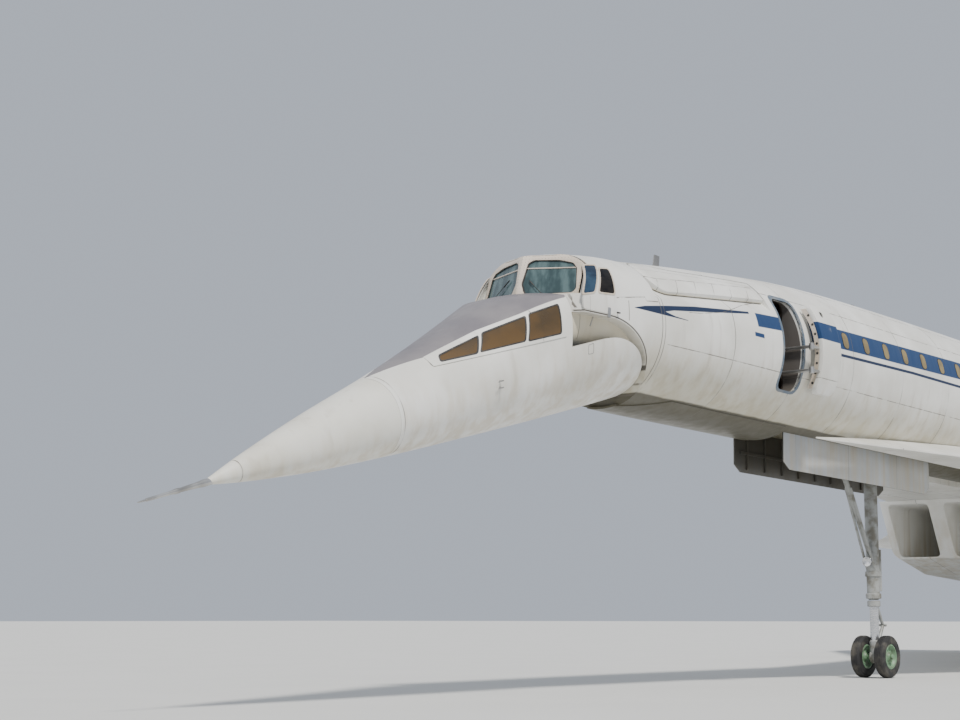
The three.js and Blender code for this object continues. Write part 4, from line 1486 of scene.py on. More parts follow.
@dataclass
class DroopNose:
    """The nose that drops before landing: shell, cone, boom and its brown side windows."""

    rear: float = 10.2
    joint: float = 3.68
    wall: float = 0.12
    cavity: float = 2.14
    edge: float = 0.24
    roof: Span = (3.9, 0.46)
    tip_h: float = -1.23
    frame_outline: Line = (
        (4.70, -0.37), (4.72, -0.21), (5.94, 0.03), (7.02, 0.17), (7.78, 0.25), (7.62, -0.38))
    panes: Tuple[Line, ...] = (
        ((4.96, -0.24), (5.84, -0.07), (5.61, -0.31), (4.91, -0.31)),
        ((5.97, -0.04), (6.89, 0.08), (6.65, -0.29), (5.71, -0.30)),
        ((7.01, 0.11), (7.65, 0.17), (7.50, -0.30), (6.74, -0.30)))
    probes: Line = ((5.87, -0.84), (5.86, -0.95))
    hatch: Line = ((8.14, -0.62), (8.27, -0.61), (8.25, -0.77), (8.12, -0.77))

    def shell(self) -> Piece:
        """The skin behind the cone, open at the back where the fixed neck enters it.

        Returns:
            The shell, in raised stations.
        """
        shell = HULL.loft("nose_shell", self.joint + 0.001, self.rear, 0.3)
        cut(shell, ROOM.tool("room", 0.0, self.edge), "INTERSECT")
        radius, crown = self.roof
        arch = rod("arch", (1, 0, crown - radius), (14, 0, crown - radius), radius, steps=160)
        cut(shell, arch, "INTERSECT")
        hollow = HULL.loft("hollow", 6.6, 11.5, 0.5, self.wall)
        cut(hollow, block("top", (7.0, 11.0), (-0.95, 0.95), (0.0, 2.0), Axis.UP), "UNION")
        s, _, h = AIRFRAME.hinge
        cut(hollow, rod("disc", (s, -2, h), (s, 2, h), self.cavity, steps=72), "INTERSECT")
        return cut(shell, hollow)

    def cone(self) -> Piece:
        """The cone ahead of the joint ring, with a shallow ring groove behind it."""
        cone = HULL.loft("nose_cone", 0.0, self.joint - 0.012, 0.2)
        collar = HULL.loft("collar", self.joint - 0.05, self.joint, 0.05, 0.006)
        return cut(cone, collar, "UNION")

    def boom(self) -> Piece:
        """The stepped probe on the tip, with its collar and heated head."""
        tip = self.tip_h
        profile = [(-1.25, 0), (-1.249, 0.009), (-1.16, 0.015), (-1.10, 0.016), (-1.09, 0.024),
                   (-0.62, 0.029), (-0.55, 0.040), (-0.50, 0.040), (-0.46, 0.033), (-0.10, 0.046),
                   (-0.02, 0.056), (0.10, 0.052), (0.34, 0.05), (0.345, 0)]
        return revolved("pitot_probe", [(s, 0, tip + r) for s, r in profile], (0, 0, tip), (1, 0, 0), 32)

    def window_frame(self) -> Piece:
        """The riveted white frame that stands a little proud round the three panes."""
        rim = HULL.patch("window_frame_port", self.frame_outline, 0.016, 0.03, 0.03)
        for pane in self.panes:
            HULL.pierced(rim, grown(pane, 0.024), 0.05)
        return cut(rim, ROOM.tool("room", 0.0, self.edge), "INTERSECT")

    def build(self) -> None:
        """Make every piece, lower it with the nose and seat it."""
        fit(self.shell(), "nose", NOSE_PAINT, NOSE, "droop_nose")
        fit(self.cone(), "nose", RADOME_PAINT, NOSE, "radome")
        fit(self.boom(), "nose", STEEL, NOSE, "pitot_boom")
        fit_pair(self.window_frame(), "nose", WHITE, NOSE, "visor_band_{}", angle=40)
        for number, points in enumerate(self.panes, 1):
            seal = HULL.patch(f"pane_seal_{number}_port", grown(points, 0.025), 0.012, 0.02, 0.05)
            HULL.pierced(seal, points, 0.04)
            pane = HULL.patch(f"pane_{number}_port", grown(points, 0.004), 0.007, 0.02, 0.04)
            fit_pair(seal, "nose", SEAL, NOSE, angle=40)
            fit_pair(pane, "nose", PANE, NOSE, angle=40)
        hatch = HULL.patch("cheek_hatch_port", grown(self.hatch, 0.008), 0.004, 0.02, 0.02)
        HULL.pierced(hatch, self.hatch, 0.02)
        fit_pair(hatch, "nose", STEEL, NOSE, angle=40)
        for number, (s, h) in enumerate(self.probes, 1):
            width = HULL.width_at(s, h)
            stem = rod(f"air_probe_{number}_port", (s + 0.02, -width + 0.02, h), (s, -width - 0.07, h), 0.014)
            head = rod("head", (s + 0.03, -width - 0.07, h), (s - 0.12, -width - 0.075, h), 0.012, 0.007)
            fit_pair(merged(f"air_probe_{number}_port", [stem, head]), "nose", STEEL, NOSE)


@dataclass
class FlightDeck:
    """The fixed fuselage behind the nose: its neck, windscreen, side windows, wipers and aerials."""

    front: float = 7.3
    rear: float = 14.1
    gap: float = 0.1
    clear: float = 0.03
    neck_front: float = 2.05
    neck_inset: float = 0.22
    neck_low: float = -1.32
    neck_ahead: float = 0.05
    screen_top: float = 0.62
    screen_low: float = -0.15
    screen_half: float = 1.05
    panel: Line = (
        (8.19, 0.47), (8.86, 0.55), (8.86, -0.43), (7.95, -0.43), (7.94, -0.17))
    frame_thick: float = 0.09
    pane: Line = (
        (0.14, -0.09), (0.07, 0.08), (0.11, 0.46), (0.20, 0.52), (0.62, 0.50), (0.86, 0.44),
        (0.94, 0.34), (0.99, -0.04), (0.94, -0.11), (0.22, -0.12))
    side_panes: Tuple[Line, ...] = (
        ((8.15, 0.38), (8.46, 0.43), (8.23, -0.10), (7.94, -0.17)),
        ((8.53, 0.38), (8.80, 0.42), (8.77, -0.05), (8.36, -0.08)))
    wipers: Tuple[Tuple[Span, Span], ...] = (
        ((0.45, -0.12), (0.21, 0.12)), ((0.71, -0.08), (0.34, 0.19)))
    rail: Tuple[Span, Span] = ((0.08, 0.375), (0.95, 0.355))
    aerials: Tuple[Tuple[str, float, float, float, float], ...] = (
        ("front", 11.93, 0.24, 0.30, 0.07), ("rear", 20.2, 0.2, 0.16, 0.05))
    vane: Span = (8.83, -0.39)
    vane_plate: Line = ((8.58, -0.32), (8.66, -0.32), (8.65, -0.50), (8.57, -0.50))
    link: Tuple[Point, Point] = ((8.49, -1.06, -0.41), (8.39, -1.04, -0.66))

    def body(self) -> Piece:
        """The fuselage shell with the room of the nose taken out and the neck put in.

        Returns:
            The body, in airframe stations.
        """
        body = HULL.loft("flight_deck", self.front, self.rear, 0.35)
        for share, gap in ((0.0, self.gap), (0.5, self.clear), (1.0, self.clear)):
            cut(body, placed(ROOM.tool("room", gap, self.clear), AIRFRAME.lowered(share)))
        s, _, h = AIRFRAME.hinge
        neck = HULL.loft("neck", self.front, 11.0, 0.4, self.neck_inset)
        cut(neck, rod("disc", (s, -2, h), (s, 2, h), self.neck_front, steps=72), "INTERSECT")
        room = block("box", (7, 11), (-2, 2), (self.neck_low, self.screen_low), Axis.ACROSS)
        cut(neck, room, "INTERSECT")
        cut(neck, ROOM.ahead("edge", self.neck_ahead, -3.0, 1.0))
        cut(body, neck, "UNION")
        cut(body, ROOM.ahead("edge", -0.03, self.screen_low + 0.01, self.screen_top - 0.01))
        return body

    def screen_slab(self, name: str, outer: float, thick: float, low: float, high: float) -> Piece:
        """A V-shaped sheet along the windscreen plane.

        Args:
            name: the piece's name.
            outer: how far its face stands ahead of the plane.
            thick: how thick it is.
            low: where it begins in height.
            high: where it ends.

        Returns:
            The sheet, trimmed to the hull.
        """
        half = self.screen_half
        back = ROOM.sweep * half
        points = [(ROOM.screen_at(low) - outer, low), (ROOM.screen_at(low) - outer + thick, low),
                  (ROOM.screen_at(high) - outer + thick, high), (ROOM.screen_at(high) - outer, high)]
        moves = [((-back, half, 0), (1, 1, 1), (0, 0, 0)), ((back, half, 0), (1, 1, 1), (0, 0, 0))]
        sheet = swept(name, [(s + back, -half, h) for s, h in points], moves)
        return cut(sheet, HULL.loft("hull", 7.0, 9.4, 0.3, -0.012), "INTERSECT")

    def opening(self, grow: float, side: Side) -> Piece:
        """The prism of one windscreen pane, along the aircraft.

        Args:
            grow: how much larger it is than the glass that shows.
            side: the pane's side.

        Returns:
            The tool.
        """
        mid_y = sum(y for y, _ in self.pane) / len(self.pane)
        mid_h = sum(h for _, h in self.pane) / len(self.pane)
        points = []
        for y, h in self.pane:
            away = Vector((y - mid_y, h - mid_h))
            away = away * (1 + grow / away.length)
            points.append((6.8, side.value * (mid_y + away.x), mid_h + away.y))
        return plate("opening", points, (2.4, 0, 0), 0.03)

    def screen(self) -> List[Piece]:
        """The windscreen: a cream frame with rounded openings, dark seals and two panes.

        Returns:
            The frame, the seal and the glass.
        """
        rim = self.screen_slab("screen_frame", 0.022, self.frame_thick, self.screen_low, self.screen_top)
        seal = self.screen_slab("screen_seal", 0.008, 0.03, -0.14, 0.60)
        for side in Side:
            cut(rim, self.opening(0.012, side))
            cut(seal, self.opening(-0.006, side))
        softened(rim, 0.012, 2, 50)
        glass = self.screen_slab("screen_glass", -0.012, 0.03, -0.135, 0.58)
        return [rim, seal, glass]

    def on_glass(self, side: Side, y: float, h: float, off: float) -> Tuple[float, float, float]:
        """A point ahead of the glass.

        Args:
            side: the side of its pane.
            y: how far it is from the centre line.
            h: its height.
            off: how far it stands ahead of the windscreen plane.

        Returns:
            The point, in airframe stations.
        """
        return ROOM.screen_at(h) + ROOM.sweep * y - off, side.value * y, h

    def wiper(self, side: Side, pivot: Span, tip: Span) -> Piece:
        """A wiper arm and its blade, lying on the glass.

        Args:
            side: the side of its pane.
            pivot: distance from the centre line and height of its lower end.
            tip: the same for its upper end.

        Returns:
            The wiper.
        """
        arm = rod("arm", self.on_glass(side, *pivot, 0.035), self.on_glass(side, *tip, 0.03), 0.006)
        knob = rod("knob", self.on_glass(side, *pivot, 0.05), self.on_glass(side, *pivot, 0.0), 0.016)
        mid = (pivot[0] * 0.3 + tip[0] * 0.7, pivot[1] * 0.3 + tip[1] * 0.7)
        end = (tip[0] * 1.3 - mid[0] * 0.3, tip[1] * 1.3 - mid[1] * 0.3)
        blade = rod("blade", self.on_glass(side, *mid, 0.02), self.on_glass(side, *end, 0.02), 0.010)
        return merged(f"wiper_{side.label}", [arm, knob, blade])

    def build(self) -> None:
        """Make every piece and seat it on the airframe."""
        body = self.body()
        for side in Side:
            FOREPLANES.recess(body, side)
        fit(body, "airframe", HULL_PAINT, FIXED, "cockpit_fuselage")
        rim, seal, glass = self.screen()
        fit(rim, "airframe", CREAM, FIXED)
        fit(seal, "airframe", SEAL, FIXED)
        fit(glass, "airframe", SCREEN_GLASS, FIXED, "windscreen")
        for side, (pivot, tip) in zip(Side, self.wipers):
            fit(self.wiper(side, pivot, tip), "airframe", SEAL, FIXED)
            ends = [self.on_glass(side, *point, -0.004) for point in self.rail]
            fit(rod(f"screen_rail_{side.label}", *ends, 0.011), "airframe", CREAM, FIXED)
        panel = HULL.patch("side_panel_port", self.panel, 0.004, 0.03, 0.03)
        fit_pair(panel, "airframe", HULL_PAINT, FIXED, angle=40)
        for number, (points, glazing) in enumerate(zip(self.side_panes, (BLUE_GLASS, BLACK_GLASS)), 1):
            rim = HULL.patch(f"side_window_frame_{number}_port", grown(points, 0.026), 0.014, 0.02, 0.05)
            HULL.pierced(rim, points, 0.045)
            pane = HULL.patch(f"side_window_{number}_port", grown(points, 0.004), 0.008, 0.02, 0.04)
            fit_pair(rim, "airframe", CREAM, FIXED, angle=40)
            fit_pair(pane, "airframe", glazing, FIXED, angle=40)
        self.fittings()

    def aerial(self, name: str, s: float, length: float, high: float, lean: float) -> Piece:
        """A blade aerial on the roof.

        Args:
            name: its place on the roof, in a word.
            s: the station of its front edge.
            length: its length at the foot.
            high: how far it stands out.
            lean: how far its top stands aft of its foot.

        Returns:
            The aerial.
        """
        mid, half, _ = HULL.section(s)
        top, foot, widest = mid + half, mid + half - 0.03, s + length * 0.3
        points = [(s, -0.012, foot), (widest, -0.022, foot), (s + length, 0, foot), (widest, 0.022, foot),
                  (s, 0.012, foot)]
        moves = [((lean, 0, high), (0.8, 0.7, 1), (s + lean, 0, top + high))]
        return softened(swept(f"roof_aerial_{name}", points, moves), 0.004)

    def fittings(self) -> None:
        """Blade aerials on the roof, and on each side a vane, its plate and a link on the neck."""
        for row in self.aerials:
            fit(self.aerial(*row), "airframe", STEEL, FIXED)
        s, h = self.vane
        width = HULL.width_at(s, h)
        stem = rod("stem", (s + 0.01, -width + 0.03, h + 0.01), (s, -width - 0.05, h), 0.014)
        head = rod("head", (s + 0.02, -width - 0.05, h), (s - 0.08, -width - 0.05, h), 0.014, 0.009)
        fit_pair(merged("vane_port", [stem, head]), "airframe", SEAL, FIXED)
        fit_pair(rod("neck_link_port", *self.link, 0.014), "airframe", STEEL, FIXED)
        plaque = HULL.patch("vane_plate_port", self.vane_plate, 0.006, 0.02, 0.01)
        fit_pair(plaque, "airframe", STEEL, FIXED)


@dataclass
class Foreplanes:
    """The folding canards that lie in recesses behind the flight deck."""

    s: float = 10.6
    tilt: float = math.radians(40)
    rise: float = math.radians(5.1)
    out: float = 1.27
    length: float = 3.4
    root: float = 0.5
    flare: int = 53
    shoulder: float = 0.75
    tip: float = 0.27
    seat: float = 0.01
    clear: float = 0.03
    end: float = 0.06

    def place(self, side: Side) -> Matrix:
        """The blade's own frame: X aft along it and Z out of the hull, at its pivot.

        Args:
            side: the canard's side.

        Returns:
            The matrix from that frame to airframe stations.
        """
        roll = Matrix.Rotation(-side.value * self.tilt, 4, "X")
        seat = roll @ Vector((0, 0, self.out))
        middle = HULL.section(self.s)[0]
        shift = Matrix.Translation((self.s, seat.y, seat.z + middle))
        return shift @ roll @ Matrix.Rotation(-self.rise, 4, "Y")

    def slab(self, side: Side, points: Sequence[Span], low: float, high: float) -> Piece:
        """A plan of the blade's frame, extruded out from its seat.

        Args:
            side: the canard's side.
            points: places along the blade and inboard of its pivot.
            low: where the slab begins.
            high: where it ends.

        Returns:
            The slab, in airframe stations.
        """
        piece = plate("slab", [(s, -side.value * v, low) for s, v in points], (0, 0, high - low))
        return placed(piece, self.place(side))

    def blade(self, side: Side) -> Piece:
        """The stowed blade with its round root, whose top is the hull's own curve."""
        points = [(self.length, self.tip), (self.shoulder, self.tip), *self.arc(self.root, 270),
                  (self.length, -self.tip)]
        blade = HULL.loft(f"foreplane_{side.label}", 9.6, 14.6, 0.4)
        return cut(blade, self.slab(side, points, self.seat, 1.0), "INTERSECT")

    def arc(self, radius: float, end: int) -> List[Span]:
        """Points round the front of the root, from its flare to an angle in degrees."""
        turns = [math.radians(self.flare + (end - self.flare) * index / 24) for index in range(25)]
        return [(radius * math.cos(turn), radius * math.sin(turn)) for turn in turns]

    def recess(self, body: Piece, side: Side) -> Piece:
        """Cut the blade's bed out of the fuselage.

        Args:
            body: the fuselage piece.
            side: the canard's side.

        Returns:
            The same piece.
        """
        rear, reach, wide = self.length + self.end, self.root + self.clear, self.tip + self.clear
        points = [(rear, wide), (self.shoulder + self.clear, wide), *self.arc(reach, 180), (-reach, -3),
                  (rear, -3)]
        return cut(body, self.slab(side, points, 0.0, 1.0))

    def build(self) -> None:
        """Make both blades and seat them on their own bodies."""
        for side in Side:
            name = f"canard_{side.label}"
            fit(softened(self.blade(side), 0.008), name, CANARD_PAINT, FIXED, name)


FOREPLANES = Foreplanes()


@dataclass
class Fuselage:
    """The passenger fuselage: forward part with the doorway and nose gear bay, cabin and tail."""

    forward: Span = (14.1, 23.6)
    cabin: Span = (23.6, 43.0)
    tail: Span = (43.0, 64.4)
    window_half: Span = (0.115, 0.165)
    door_s: float = 14.3
    door_width: float = 0.75
    door_top: float = 0.81
    door_sill: float = -1.04
    bay: Tuple[float, float, float, float] = (15.9, 22.9, 0.62, -1.05)
    window_from: float = 16.91
    window_pitch: float = 0.942
    window_count: int = 33

    def doorway(self, grow: float = 0.0) -> Piece:
        """The tool that cuts the door opening, with its rounded corners."""
        left, right = self.door_s - grow, self.door_s + self.door_width + grow
        low, top = self.door_sill - grow, self.door_top + grow
        return block("doorway", (left, right), (-3, -0.7), (low, top), Axis.ACROSS, 0.16)

    def vestibule(self, grow: float = 0.0) -> Piece:
        """The room inside the door."""
        front, rear = self.door_s - 0.1 - grow, self.door_s + self.door_width + 0.5 + grow
        low, top = self.door_sill - grow, self.door_top + 0.05 + grow
        return block("vestibule", (front, rear), (-1.05 - grow, 0.6 + grow), (low, top), Axis.ACROSS)

    def front_part(self) -> Piece:
        """The part with the doorway, the room behind it and the nose gear bay."""
        part = HULL.loft("forward_skin", *self.forward, 0.8)
        cut(part, self.doorway())
        cut(part, self.vestibule(0.05))
        front, rear, half, roof = self.bay
        return cut(part, block("bay", (front, rear), (-half, half), (-3, roof), Axis.UP))

    def lining(self) -> Piece:
        """The lining of the vestibule, open at the door, with a floor and a bulkhead, in near-black painted
        shade.
        """
        lining = self.vestibule(0.045)
        cut(lining, self.vestibule())
        cut(lining, self.doorway(0.02))
        lining.name = "vestibule_lining"
        return lining

    def bay_lining(self) -> Piece:
        """Ribs and roof of the nose gear bay."""
        front, rear, half, roof = self.bay
        ribs = []
        for index in range(9):
            s = front + 0.3 + index * (rear - front - 0.6) / 8
            ribs.append(plate("rib", [(s, -half, roof), (s, half, roof), (s, half, roof - 0.12),
                                      (s, half - 0.09, roof - 0.16), (s, -half + 0.09, roof - 0.16),
                                      (s, -half, roof - 0.12)], (0.05, 0, 0)))
        return merged("nose_bay_ribs", ribs)

    def keel(self) -> Piece:
        """The flat dark plate under the front of the fuselage, whose edges make the chine."""
        plan = [(10.2, -0.3, -2.2), (11.4, -0.80, -2.2), (15.7, -0.80, -2.2), (15.7, 0.80, -2.2),
                (11.4, 0.80, -2.2), (10.2, 0.3, -2.2)]
        keel = HULL.loft("keel_plate", 10.0, 16.0, 0.6, -0.018)
        cut(keel, plate("plan", plan, (0, 0, 0.9)), "INTERSECT")
        return cut(keel, HULL.loft("core", 9.9, 16.1, 0.6, 0.02))

    def window(self, name: str, s: float, grow: float, proud: float) -> Piece:
        """One tall rounded cabin window plate on the port side.

        Args:
            name: the piece's name.
            s: the window's station.
            grow: how much wider it is than the glass.
            proud: how far it stands out of the skin.

        Returns:
            The plate.
        """
        wide, tall = (half + grow for half in self.window_half)
        h = self.window_height(s)
        return HULL.patch(name, corners(s - wide, s + wide, h - tall, h + tall), proud, 0.02, wide * 0.8)

    def window_height(self, s: float) -> float:
        """Height of the middle of the window at a station."""
        return min(0.27 + 0.0195 * (s - 16.5), 0.40)

    def window_row(self) -> None:
        """Set the windows along the stripe, and copy the row to the other side."""
        same = 30.0
        for grow, proud, name, finish in ((0.016, 0.004, "cabin_window_rims", SEAL),
                                          (0.0, 0.007, "cabin_windows", TAN_GLASS)):
            single = self.window("single", same, grow, proud)
            row = []
            for index in range(self.window_count):
                s = self.window_from + index * self.window_pitch
                if s < self.forward[1]:
                    row.append(self.window("one", s, grow, proud))
                else:
                    shift = HULL.width_at(same, 0.40) - HULL.width_at(s, 0.40)
                    row.append(copied(single, "one", Matrix.Translation((s - same, shift, 0))))
            bpy.data.objects.remove(single)
            fit_pair(merged(f"{name}_port", row), "airframe", finish, FIXED)

    def build(self) -> None:
        """Make every piece and seat it on the airframe."""
        for skin, node in ((self.front_part(), "forward_fuselage"),
                           (HULL.loft("cabin_skin", *self.cabin, 2.0), "cabin_fuselage"),
                           (HULL.loft("tail_skin", *self.tail, 0.9), "tail_fuselage")):
            fit(skin, "airframe", HULL_PAINT, FIXED, node)
        fit(self.lining(), "airframe", LINING, FIXED)
        fit(self.bay_lining(), "airframe", BAY_PAINT, FIXED)
        fit(self.keel(), "airframe", HULL_PAINT, FIXED)
        self.window_row()


@dataclass
class FrontDoor:
    """The plug door, swung out and aft on its arms."""

    aft: float = 0.95
    out: float = 0.34
    outline: Rectangle = (14.306, 15.05, -1.04, 0.805)
    window: Rectangle = (14.57, 14.69, 0.54, 0.67)
    pane: Rectangle = (14.55, 14.71, 0.52, 0.69)
    hole_count: int = 8
    hole_pitch: float = 0.2
    hole_r: float = 0.028
    arm_heights: Span = (-0.62, -0.14)
    arm_s: float = 14.99
    arm_reach: float = 0.36
    arm_y: Span = (-1.1, -1.80)
    rim: Rectangle = (14.24, 15.12, -1.09, 0.89)
    opening: Rectangle = (14.30, 15.05, -1.04, 0.81)

    def edge(self) -> Tuple[Piece, Piece]:
        """The front edge of the door.

        Returns:
            The edge strip and the row of holes in it.
        """
        front, _, low, top = self.outline
        outline = corners(front, front + 0.05, low + 0.1, top - 0.1)
        strip = HULL.patch("door_edge", outline, -0.085, 0.10, 0.01)
        holes = []
        for index in range(self.hole_count):
            h = low + 0.2 + index * self.hole_pitch
            y = 0.135 - HULL.width_at(front, h)
            holes.append(rod("hole", (front - 0.004, y, h), (front + 0.02, y, h), self.hole_r, steps=16))
        return strip, merged("door_edge_holes", holes)

    def arms(self) -> Piece:
        """The two cranked arms that carry the door, each with its knuckle."""
        s, (inner, outer) = self.arm_s, self.arm_y
        arms = []
        for h in self.arm_heights:
            arms.append(rod("arm", (s, inner, h), (s, outer, h), 0.035))
            arms.append(rod("arm", (s, outer, h), (s + self.arm_reach, outer, h), 0.035))
            arms.append(rod("knuckle", (s, outer, h - 0.07), (s, outer, h + 0.07), 0.05))
        return merged("door_arms", arms)

    def build(self) -> None:
        """Make the door, its holed edge, window, arms and frame, and seat them."""
        panel = HULL.patch("door_panel", corners(*self.outline), 0.0, 0.09, 0.15)
        HULL.pierced(panel, corners(*self.window), 0.055)
        strip, holes = self.edge()
        pane = HULL.patch("door_pane", corners(*self.pane), -0.02, 0.02, 0.05)
        move = Matrix.Translation((self.aft, -self.out, 0))
        for piece in (panel, strip, holes, pane):
            placed(piece, move)
        fit(softened(panel, 0.01), "airframe", DOOR_PAINT, FIXED, "passenger_door")
        fit(strip, "airframe", CREAM, FIXED)
        fit(holes, "airframe", SEAL, FIXED)
        fit(pane, "airframe", BLACK_GLASS, FIXED)
        fit(self.arms(), "airframe", STEEL, FIXED)
        rim = HULL.patch("door_frame", corners(*self.rim), 0.006, 0.05, 0.20)
        HULL.pierced(rim, corners(*self.opening), 0.16)
        fit(rim, "airframe", JAMB, FIXED)


@dataclass(frozen=True)
class DoorPaint(HullPaint):
    """The fuselage paint as it lies on the open door, moved aft with it."""

    name: str = "door_white"
    band_from: float = 14.0
    dirt_to: float = -0.4

    def marked(self, shader: Shader, colour: Socket) -> Socket:
        """Lay the door's own part of the broad stripe over the white."""
        across = shader.within(shader.h, 0.05, 0.41, 0.008)
        worn = shader.step(shader.noise(5.0, 5.0, (1.0, 1.0, 0.4)), 0.12, 0.30)
        return shader.tint(shader.both(across, worn), colour, self.blue)


DOOR_PAINT = DoorPaint()


@dataclass
class Wings:
    """The delta wings with four elevons on each side."""

    ribs: Tuple[Tuple[float, float, float, float], ...] = (
        (1.0, 16.6, 54.4, 0.86), (2.6, 23.6, 54.3, 0.8), (4.4, 30.6, 54.2, 0.7), (6.2, 36.3, 54.1, 0.56),
        (9.0, 41.0, 54.0, 0.42), (12.0, 45.8, 53.9, 0.3), (14.0, 49.0, 53.8, 0.2), (14.4, 50.6, 53.7, 0.12))
    stations: Tuple[float, ...] = (1.0, 1.8, 2.6, 3.5, 4.4, 5.3, 6.2, 7.6, 9.0, 10.5, 12.0, 13.0, 13.6, 14.0,
                                   14.25, 14.4)
    under: float = -1.78
    hinge_s: float = 51.6
    hinge_h: float = -1.66
    elevon_r: float = 0.115
    elevon_first: float = 4.95
    elevon_last: float = 14.0
    elevon_count: int = 4
    elevon_gap: float = 0.02
    elevon_trail: float = 53.9
    fairing: Tuple[float, float, float, float] = (51.75, 52.9, -1.72, 0.19)

    def wing(self) -> Piece:
        """The starboard wing as one flat-bottomed blade, with the elevons' well cut out.

        Returns:
            The wing, in airframe stations.
        """
        lead, trail, thick = (between(self.ribs, self.stations[0], column) for column in (1, 2, 3))
        shares = [(1 - math.cos(math.pi * index / 20)) / 2 for index in range(21)]
        upper = [(lead + a * (trail - lead), self.stations[0], self.under + 0.03 + 4 * a * (1 - a) * thick)
                 for a in shares]
        points = [*upper, (trail, self.stations[0], self.under), (lead, self.stations[0], self.under)]
        moves = []
        for y0, y1 in zip(self.stations, self.stations[1:]):
            new_lead, new_trail, new_thick = (between(self.ribs, y1, column) for column in (1, 2, 3))
            size = ((new_trail - new_lead) / (trail - lead), 1, new_thick / thick)
            moves.append(((new_lead - lead, y1 - y0, 0), size, (new_lead, y1, self.under)))
            lead, trail, thick = new_lead, new_trail, new_thick
        wing = swept("wing_skin_starboard", points, moves)
        first, last, s = self.elevon_first, self.elevon_last, self.hinge_s - 0.05
        cut(wing, block("well", (s, 60), (first, last), (-3, 0), Axis.UP))
        ends = [(self.hinge_s, y, self.hinge_h) for y in (first, last)]
        return cut(wing, rod("cove", *ends, self.elevon_r + 0.006))

    def elevon(self, index: int) -> Piece:
        """One starboard elevon with its round nose and thin trailing edge.

        Args:
            index: its place, counted outboard from nought.

        Returns:
            The elevon, in airframe stations.
        """
        width = (self.elevon_last - self.elevon_first) / self.elevon_count
        low = self.elevon_first + index * width + self.elevon_gap / 2
        deep = width - self.elevon_gap
        arc = [(self.hinge_s - self.elevon_r * math.sin(math.radians(turn)),
                self.hinge_h + self.elevon_r * math.cos(math.radians(turn))) for turn in range(0, 181, 15)]
        points = [(self.elevon_trail, self.under + 0.05), *arc, (self.elevon_trail, self.under + 0.03)]
        elevon = plate(f"elevon_skin_{index + 1}_starboard", [(s, low, h) for s, h in points], (0, deep, 0))
        for share in (0.25, 0.75):
            y = low + deep * share
            s0, s1, foot, high = self.fairing
            points = [(s0, y - 0.05, foot), (s1, y - 0.012, foot), (s1, y + 0.012, foot),
                      (s0, y + 0.05, foot)]
            cut(elevon, plate("fairing", points, (0, 0, high)), "UNION")
        return elevon

    def build(self) -> None:
        """Make both wings and all elevons, and seat them."""
        fit_pair(self.wing(), "airframe", WING_PAINT, FIXED, "wing_{}", angle=20)
        for index in range(self.elevon_count):
            body = f"elevon_{{}}_{index + 1}"
            fit_pair(self.elevon(index), body, WING_PAINT, FIXED, body)


